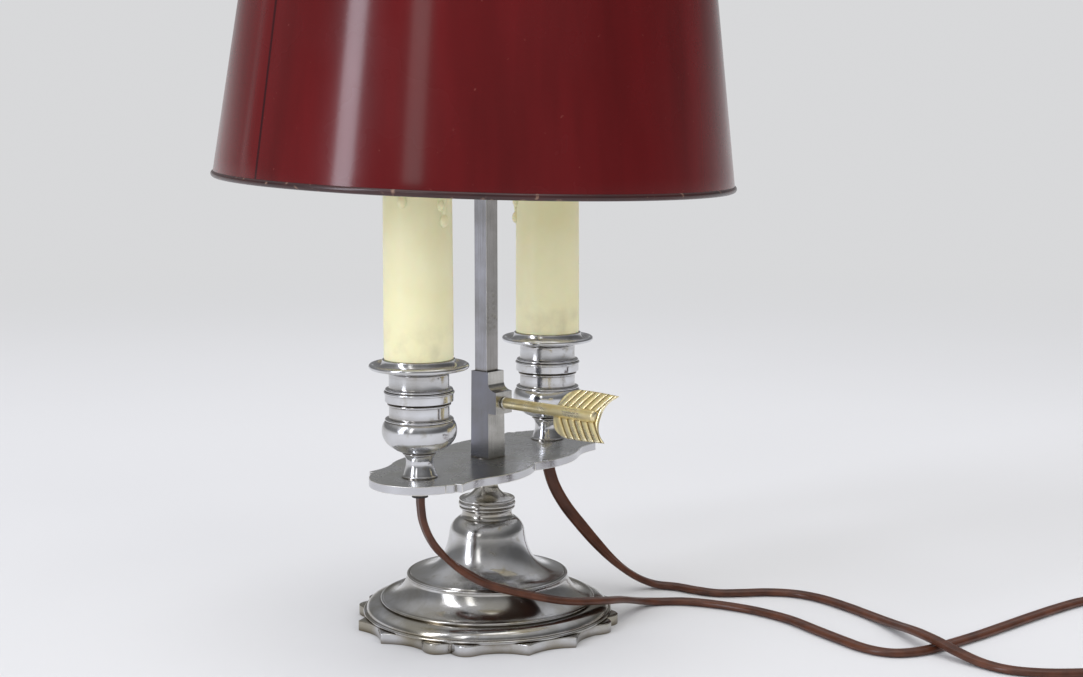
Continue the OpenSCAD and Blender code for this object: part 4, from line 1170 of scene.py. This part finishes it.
def drawnSilver(name, sidePaintedLight, frontPaintedLight):
    # drawn bar: brushed along its length, greyer in patches, with scars where the screw has pressed, and its
    # front face and sides toned apart as painted light and shade
    look = barLook
    finish, tree, where = startFinish(name)
    cloud = addNode(tree, "TexNoise", {"Vector": where, "Scale": scaleOf(look["patchSize"]), "Detail": 5})
    along = addNode(tree, "Mapping", {"Vector": where, "Scale": scaleOf(*look["hairs"])})
    hair = addNode(tree, "TexNoise", {"Vector": along, "Scale": 1, "Detail": 3})
    height = addNode(tree, "SeparateXYZ", (where,)).outputs["Z"]
    # painted light and shade: the face turned to -Y takes the front tone and the other faces take the side
    # tone
    facing = addNode(tree, "TexCoord").outputs["Normal"]
    front = addNode(tree, "SeparateXYZ", (facing,)).outputs["Y"]
    frontLightShare = addNode(tree, "MapRange", (front, -0.5, -0.8, 0, 1))
    tone = addNode(tree, "Mix", {0: frontLightShare, 6: sidePaintedLight, 7: frontPaintedLight}, data_type="RGBA")
    for pattern, start, end, most in ((cloud, 0.4, 0.65, 0.5), (hair, 0.45, 0.75, 0.35)):
        share = addNode(tree, "MapRange", (pattern, start, end, 0, most))
        tone = addNode(tree, "Mix", {0: share, 6: tone, 7: look["rubbedDark"]}, data_type="RGBA")
    scars = addNode(tree, "MapRange", (front, -0.8, -0.95, 0, 1))
    bites = addNode(tree, "TexVoronoi", {"Vector": where, "Scale": scaleOf(look["scarSize"])})
    for value, start, end, low, high in (
            (height, *look["scarFrom"], 0, 1), (height, *look["scarTo"], 1, 0), (bites, 0.15, 0.5, 1, 0)):
        share = addNode(tree, "MapRange", (value, start, end, low, high))
        scars = addNode(tree, "Math", (scars, share), operation="MULTIPLY")
    marked = addNode(tree, "Mix", {0: scars, 6: tone, 7: look["scar"]}, data_type="RGBA")
    hairDepth = addNode(tree, "Math", (hair, 0.12), operation="MULTIPLY")
    shape = addNode(tree, "Math", (hairDepth, scars), operation="SUBTRACT")
    shader = addNode(tree, "BsdfPrincipled", {
        "Base Color": tarnished(tree, marked, look["tarnish"], look["tarnishReach"], 1.1),
        "Metallic": 1,
        "Roughness": addNode(tree, "MapRange", (cloud, 0.3, 0.75, 0.16, 0.3)),
        "Normal": addNode(tree, "Bump", {"Height": shape, "Strength": 0.35, "Distance": 0.12 * mm}),
    })
    addNode(tree, "OutputMaterial", {"Surface": shader})
    return finish


brassLook = {
    "ribs": ("#FBF1CF", "#ECDBA6"),
    "patchSize": 6.25,
    "groove": "#6E5A30",
    "tarnish": "#A8925A",
    "tarnishReach": 0.8,
    "grain": 1.11,
}


def castBrass(name):
    # cast brass: pale gold, worn bright on its ribs and brown in its grooves
    look = brassLook
    finish, tree, where = startFinish(name)
    cloud = addNode(tree, "TexNoise", {"Vector": where, "Scale": scaleOf(look["patchSize"]), "Detail": 5})
    clear = addNode(tree, "ValToRGB", {"Fac": cloud}, zip((0.35, 0.7), look["ribs"]))
    groove = addNode(tree, "Attribute", attribute_name="groove").outputs["Fac"]
    lined = addNode(tree, "Mix", {0: groove, 6: clear, 7: look["groove"]}, data_type="RGBA")
    grain = addNode(tree, "TexNoise", {"Vector": where, "Scale": scaleOf(look["grain"]), "Detail": 3})
    shader = addNode(tree, "BsdfPrincipled", {
        "Base Color": tarnished(tree, lined, look["tarnish"], look["tarnishReach"], 1.0),
        "Metallic": 1,
        "Roughness": addNode(tree, "MapRange", (cloud, 0.3, 0.75, 0.22, 0.38)),
        "Normal": addNode(tree, "Bump", {"Height": grain, "Strength": 0.12, "Distance": 0.04 * mm}),
    })
    addNode(tree, "OutputMaterial", {"Surface": shader})
    return finish


lacquerLook = {
    "red": ("#510A0D", "#5E0D11"),
    "runs": (14.3, 14.3, 167),  # long marks down the cone
    "speck": "#8A4A44",
    "speckSize": 1.92,
    "lap": "#22040A",
    "lapLine": (0.003, 0.009),  # half width of the dark line and of its soft edge, in radians
    "dullSize": 33.3,
    "ripple": (16.7, 16.7, 45.5),
    "orangePeel": 0.667,
}


def redLacquer():
    # sprayed lacquer on sheet metal: glossy dark red, with faint runs down the cone and fine specks
    look = lacquerLook
    finish, tree, where = startFinish("redLacquer")
    down = addNode(tree, "Mapping", {"Vector": where, "Scale": scaleOf(*look["runs"])})
    runs = addNode(tree, "TexNoise", {"Vector": down, "Scale": 1, "Detail": 3})
    deep = addNode(tree, "ValToRGB", {"Fac": runs}, zip((0.3, 0.7), look["red"]))
    specks = addNode(tree, "TexNoise", {"Vector": where, "Scale": scaleOf(look["speckSize"]), "Detail": 2})
    speckled = addNode(tree, "MapRange", (specks, 0.74, 0.8, 0, 0.4))
    worn = addNode(tree, "Mix", {0: speckled, 6: deep, 7: look["speck"]}, data_type="RGBA")
    # a line of shadow and old polish along the lap of the sheet
    across = addNode(tree, "SeparateXYZ", (where,)).outputs
    turn = addNode(tree, "Math", (across["Y"], across["X"]), operation="ARCTAN2")
    lap = math.radians(shade["seamAt"] + shade["seamWide"] + 0.3)
    past = addNode(tree, "Math", (turn, lap), operation="SUBTRACT")
    away = addNode(tree, "Math", (past,), operation="ABSOLUTE")
    shadow = addNode(tree, "MapRange", (away, *look["lapLine"], 0.85, 0))
    lined = addNode(tree, "Mix", {0: shadow, 6: worn, 7: look["lap"]}, data_type="RGBA")
    dull = addNode(tree, "TexNoise", {"Vector": where, "Scale": scaleOf(look["dullSize"]), "Detail": 4})
    slope = addNode(tree, "Mapping", {"Vector": where, "Scale": scaleOf(*look["ripple"])})
    ripple = addNode(tree, "TexNoise", {"Vector": slope, "Scale": 1, "Detail": 2})
    peel = addNode(tree, "TexNoise", {"Vector": where, "Scale": scaleOf(look["orangePeel"]), "Detail": 2})
    height = addNode(tree, "Math", (
        ripple, addNode(tree, "Math", (peel, 0.02), operation="MULTIPLY")), operation="ADD")
    shader = addNode(tree, "BsdfPrincipled", {
        "Base Color": lined,
        "Roughness": addNode(tree, "MapRange", (dull, 0.3, 0.7, 0.2, 0.32)),
        "Specular IOR Level": 0.1,
        "Coat Weight": 0.55,
        "Coat Roughness": 0.13,
        "Normal": addNode(tree, "Bump", {"Height": height, "Strength": 0.1, "Distance": 0.5 * mm}),
    })
    addNode(tree, "OutputMaterial", {"Surface": shader})
    return finish


# the rolled edges' red is darker than the cone's: partly browner wear, partly painted shade
edgeLook = {"red": ("#24070A", "#3A110F"), "patchSize": 16.7, "bare": "#8A6A58", "chipSize": 3.85}


def wornAndShadedEdge():
    # lacquer on a rolled edge: browner red, chipped to the metal in small spots, and darker than the cone as
    # painted shade
    look = edgeLook
    finish, tree, where = startFinish("wornAndShadedRedEdge")
    chips = addNode(tree, "TexNoise", {"Vector": where, "Scale": scaleOf(look["chipSize"]), "Detail": 5})
    cloud = addNode(tree, "TexNoise", {"Vector": where, "Scale": scaleOf(look["patchSize"]), "Detail": 4})
    red = addNode(tree, "ValToRGB", {"Fac": cloud}, zip((0.3, 0.7), look["red"]))
    bare = addNode(tree, "MapRange", (chips, 0.62, 0.7, 0, 0.8))
    shader = addNode(tree, "BsdfPrincipled", {
        "Base Color": addNode(tree, "Mix", {0: bare, 6: red, 7: look["bare"]}, data_type="RGBA"),
        "Roughness": addNode(tree, "MapRange", (bare, 0, 1, 0.34, 0.5)),
        "Coat Weight": 0.3,
        "Coat Roughness": 0.15,
        "Normal": addNode(tree, "Bump", {"Height": bare, "Strength": -0.3, "Distance": 0.06 * mm}),
    })
    addNode(tree, "OutputMaterial", {"Surface": shader})
    return finish


candleLook = {
    "ivory": ("#EAE2B6", "#F1EAC4"),
    "patchSize": 22.2,
    "smudge": "#A39A80",
    "smudgeSize": 11.8,
    "handled": (0.118, 0.134),  # the smudges run out between these levels, in metres
    "unevenness": (3.85, 3.85, 16.7),
}


def ivoryCandle():
    # smooth cast sleeve, slightly see-through, with soft grey smudges low down where hands have held it
    look = candleLook
    finish, tree, where = startFinish("ivoryCandle")
    cloud = addNode(tree, "TexNoise", {"Vector": where, "Scale": scaleOf(look["patchSize"]), "Detail": 4})
    pale = addNode(tree, "ValToRGB", {"Fac": cloud}, zip((0.3, 0.7), look["ivory"]))
    height = addNode(tree, "SeparateXYZ", (where,)).outputs["Z"]
    low = addNode(tree, "MapRange", (height, *look["handled"], 1, 0))
    soft = addNode(tree, "TexNoise", {"Vector": where, "Scale": scaleOf(look["smudgeSize"]), "Detail": 5})
    smudge = addNode(tree, "Math", (
        low, addNode(tree, "MapRange", (soft, 0.5, 0.8, 0, 0.55))), operation="MULTIPLY")
    along = addNode(tree, "Mapping", {"Vector": where, "Scale": scaleOf(*look["unevenness"])})
    wavy = addNode(tree, "TexNoise", {"Vector": along, "Scale": 1, "Detail": 3})
    shader = addNode(tree, "BsdfPrincipled", {
        "Base Color": addNode(tree, "Mix", {0: smudge, 6: pale, 7: look["smudge"]}, data_type="RGBA"),
        "Roughness": 0.4,
        "Subsurface Weight": 0.2,
        "Subsurface Scale": 0.003,
        "Normal": addNode(tree, "Bump", {"Height": wavy, "Strength": 0.08, "Distance": 0.1 * mm}),
    })
    addNode(tree, "OutputMaterial", {"Surface": shader})
    return finish


def coloured(name, pale, dark, patchSize, grain, grainStrength, values):
    # coloured through, a little uneven in tone, with the fine grain of its own kind
    finish, tree, where = startFinish(name)
    cloud = addNode(tree, "TexNoise", {"Vector": where, "Scale": scaleOf(patchSize), "Detail": 4})
    fine = addNode(tree, "TexNoise", {"Vector": where, "Scale": scaleOf(grain), "Detail": 3})
    shader = addNode(tree, "BsdfPrincipled", {
        "Base Color": addNode(tree, "ValToRGB", {"Fac": cloud}, [(0.3, dark), (0.7, pale)]),
        "Normal": addNode(tree, "Bump", {"Height": fine, "Strength": grainStrength, "Distance": 0.05 * mm}),
        **values,
    })
    addNode(tree, "OutputMaterial", {"Surface": shader})
    return finish


silverTurned = turnedSilver("wornSilverPlate")
silverSatin = satinSilver("satinSilverPlate")
silverDrawn = drawnSilver("brushedSilverPlate", *barLook["rod"])
# the block's sides are painted in shade and its front is painted lit
silverBlockLitAndShaded = drawnSilver("litAndShadedBlockSilverPlate", *barLook["block"])
brass = castBrass("wornBrass")
lacquer = redLacquer()
lacquerEdge = wornAndShadedEdge()
ivory = ivoryCandle()

# plain finishes: pale and dark tone, millimetres across a patch and a grain, grain strength, shader values
# the edge finish is whiter than the plate beside it: wear, and a painted highlight along the rounded edges
rubbedEdgeAndHighlight = coloured(  # plate rubbed bright by handling
    "rubbedSilverEdgeHighlight", "#F6F6F2", "#DEDCD4", 4.17, 1.11, 0.05, {"Metallic": 1, "Roughness": 0.34})
shadeLining = coloured(  # flat cream paint inside the shade
    "creamLining", "#E6E0CF", "#D9D2BE", 25, 1.67, 0.08, {"Roughness": 0.55})
flexBrown = coloured(  # extruded soft insulation, shiny from handling
    "brownInsulation", "#5A3322", "#3E2115", 6.67, 0.556, 0.12, {"Roughness": 0.3, "Specular IOR Level": 0.4})
fittingBrown = coloured(  # pressed phenolic resin, smooth and dark
    "brownResin", "#3A2218", "#27150E", 11.1, 1.11, 0.06, {"Roughness": 0.26})
steel = coloured(  # plain turned steel
    "plainSteel", "#A8A8A8", "#858585", 3.33, 0.667, 0.15, {"Metallic": 1, "Roughness": 0.35})
baize = coloured(  # wool cloth, its nap drawn coarser than it is so that it shows
    "greenBaize", "#2F5A3C", "#1B3F25", 1.43, 0.313, 0.9, {"Roughness": 0.95})
whitePlastic = coloured(  # moulded holder
    "whiteHolder", "#E4E1D6", "#D6D2C4", 16.7, 1.11, 0.05, {"Roughness": 0.45})
blackPlastic = coloured(  # moulded bush
    "blackBush", "#2A2624", "#1C1918", 5, 0.714, 0.1, {"Roughness": 0.5})
tieCloth = coloured(  # woven hook tape
    "blackTie", "#23211F", "#171514", 2, 0.385, 0.6, {"Roughness": 0.8})
glass = coloured(  # clear blown glass
    "clearGlass", "#F8F6EE", "#F2F0E8", 33.3, 16.7, 0.02, {"Roughness": 0.02, "Transmission Weight": 1})
print("finishes mixed")


def paint(piece, *finishes):
    faces = piece.data.polygons
    chosen = [face.material_index for face in faces]
    piece.data.materials.clear()
    for finish in finishes:
        piece.data.materials.append(finish)
    for face, index in zip(faces, chosen):
        face.material_index = min(index, len(finishes) - 1)


# finishes by node, the first for the whole and the next for rubbed edges, whitened as a painted highlight, or
# for rolled edges and the inside
finishOf = {
    "base_bell": (silverTurned,), "base_pad": (baize,), "base_washer": (steel,), "base_nut": (steel,),
    "neck_collar": (silverTurned,), "rod": (silverDrawn, rubbedEdgeAndHighlight),
    "arm_plate": (silverSatin, rubbedEdgeAndHighlight), "socket_block": (silverBlockLitAndShaded, rubbedEdgeAndHighlight),
    "clamp_pad": (brass,), "clamp_screw": (rubbedEdgeAndHighlight,), "arrow_key": (brass,),
    "cup_left": (silverTurned,), "cup_right": (silverTurned,), "cup_nuts": (steel,),
    "flex_bushes": (blackPlastic,), "nipples": (steel,), "lampholders": (whitePlastic,),
    "holder_contacts": (brass,), "bulb_caps": (steel,), "bulb_left": (glass,), "bulb_right": (glass,),
    "tube_left": (ivory,), "tube_right": (ivory,),
    "shade_skin": (lacquer, lacquerEdge, shadeLining), "shade_carrier": (brass,),
    "seat_washer": (silverTurned,), "finial": (silverTurned,),
    "switch_base": (fittingBrown,), "switch_cover": (fittingBrown,), "switch_rocker": (fittingBrown,),
    "switch_pin": (steel,), "switch_screws": (steel,), "plug_body": (fittingBrown,), "plug_pins": (brass,),
}
# the pieces that stand for a node of the frame
newPieces = {
    "base_bell": (footRim, footBell), "neck_collar": (neckPiece,), "arrow_key": (arrowKey,),
    "cup_left": (cupLeft,), "cup_right": (cupRight,),
    "tube_left": (candleLeft,), "tube_right": (candleRight,),
    "bulb_left": (bulbLeft,), "bulb_right": (bulbRight,),
    "shade_skin": (shadeSkin,), "finial": (finialKnob,),
}
newPieces.update((node, (piece,)) for node, piece in easedPieces.items())
bodyOf = {node: body for body, nodes in frame["record"]["behaviour"]["bodies"].items() for node in nodes}
for node, finishes in finishOf.items():
    for piece in newPieces.get(node, ()):
        paint(piece, *finishes)
        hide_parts(node)
        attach(piece, bodyOf[node])
    if node not in newPieces:
        paint(frame["nodes"][node], *finishes)
for piece, finish, body in (
        (filamentLeft, steel, "bracket"), (filamentRight, steel, "bracket"), (coilTie, tieCloth, "stand"),
        (switchSleeve, fittingBrown, "stand"), (plugSleeve, fittingBrown, "stand"),
        (sleeveLeft, fittingBrown, "stand"), (sleeveRight, fittingBrown, "stand")):
    paint(piece, finish)
    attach(piece, body)
for piece in (flexLeft, flexRight, mainsLead):
    paint(piece, flexBrown)
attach(mainsLead, "stand")

for piece, route, way in ((flexLeft, leftRoute, -1), (flexRight, rightRoute, 1)):
    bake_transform(piece)
print("finishes and bodies set")

# floor, room and lamps
studio = {
    "floor": ("#D4D4D6", "#D6D6D8"),
    "floorSize": 16,  # metres
    "patchSize": 333,
    "fade": (0.48, 1.5),  # metres from the lamp over which the floor passes into the backdrop
    "air": (0.98, 0.985, 1, 1),
    "backdrop": 0.7,  # brightness of the pale room behind the lamp
    "fill": 0.85,  # how strongly the room lights the lamp
    "aim": (0, 0, 0.17),
    # right, away and height of each lamp in millimetres, its width and height, its power, its colour
    # and whether a polished surface mirrors it
    "lamps": [
        ("leftStrip", (-1970, -1380, 1300), 420, 2500, 33, (0.87, 0.9, 1), True),
        ("frontStrip", (-960, -2160, 1440), 380, 1900, 4.4, (1, 1, 1), True),
        ("rightBox", (1570, -1700, 1500), 1600, 2000, 13, (1, 0.98, 0.95), False),
        ("topBox", (0, 100, 1500), 1200, 1200, 6, (1, 1, 1), True),
    ],
}


def makeFloor():
    startClean()
    bpy.ops.mesh.primitive_plane_add(size=studio["floorSize"])
    floor = bpy.context.object
    floor.name = "floor"
    finish, tree, where = startFinish("paleFloor")
    cloud = addNode(tree, "TexNoise", {"Vector": where, "Scale": scaleOf(studio["patchSize"]), "Detail": 2})
    tone = addNode(tree, "ValToRGB", {"Fac": cloud}, zip((0.3, 0.7), studio["floor"]))
    shader = addNode(tree, "BsdfPrincipled", {"Base Color": tone, "Roughness": 0.75})
    # far from the lamp it passes into the backdrop, for the eye and in mirrored and see-through rays
    far = addNode(tree, "VectorMath", (where,), operation="LENGTH")
    share = addNode(tree, "MapRange", (far, *studio["fade"], 0, 1), interpolation_type="SMOOTHSTEP")
    rays = addNode(tree, "LightPath").outputs
    seen = rays["Is Camera Ray"]
    for other in ("Is Glossy Ray", "Is Transmission Ray"):
        seen = addNode(tree, "Math", (seen, rays[other]), operation="MAXIMUM")
    share = addNode(tree, "Math", (share, seen), operation="MULTIPLY")
    glow = addNode(tree, "Emission", {"Color": studio["air"], "Strength": studio["backdrop"]})
    both = addNode(tree, "MixShader", (share, shader, glow))
    addNode(tree, "OutputMaterial", {"Surface": both})
    paint(floor, finish)


def makeWorld():
    world = bpy.data.worlds.new("studio")
    world.use_nodes = True
    tree = world.node_tree
    tree.nodes.clear()
    where = addNode(tree, "TexCoord").outputs["Generated"]
    height = addNode(tree, "SeparateXYZ", (where,)).outputs["Z"]
    # in reflections the room is pale at the level of the table, dimmer above it, and dim on the lamp's right
    room = addNode(tree, "ValToRGB", {"Fac": height}, [
        (0.0, studio["backdrop"]), (0.04, 0.52), (0.12, 0.23), (0.4, 0.25), (0.65, 0.5), (1.0, 0.6)])
    sideways = addNode(tree, "VectorMath", (where, fromViewer(1000, 0, 0)), operation="DOT_PRODUCT")
    dimmed = addNode(tree, "MapRange", (sideways, 0.3, 0.95, 1, 0.5))
    mirrored = addNode(tree, "Math", (room, dimmed), operation="MULTIPLY")
    rays = addNode(tree, "LightPath").outputs
    through = addNode(tree, "Math", (rays["Is Glossy Ray"], rays["Is Transmission Ray"]), operation="MAXIMUM")
    lit = addNode(tree, "Mix", {0: through, 2: studio["fill"], 3: mirrored})
    level = addNode(tree, "Mix", {0: rays["Is Camera Ray"], 2: lit, 3: studio["backdrop"]})
    sky = addNode(tree, "Background", {"Color": studio["air"], "Strength": level})
    addNode(tree, "OutputWorld", {"Surface": sky})
    scene.world = world


def makeLamps():
    for name, place, width, height, power, colour, mirrored in studio["lamps"]:
        lamp = bpy.data.lights.new(name, "AREA")
        lamp.shape = "RECTANGLE"
        lamp.size = width * mm
        lamp.size_y = height * mm
        lamp.energy = power
        lamp.color = colour
        holder = bpy.data.objects.new(name, lamp)
        holder.visible_glossy = mirrored
        holder.location = fromViewer(*place)
        holder.rotation_euler = (Vector(studio["aim"]) - holder.location).to_track_quat("-Z", "Y").to_euler()
        scene.collection.objects.link(holder)


makeFloor()
makeLamps()
makeWorld()
scene.view_settings.view_transform = "Standard"
print("studio lit")
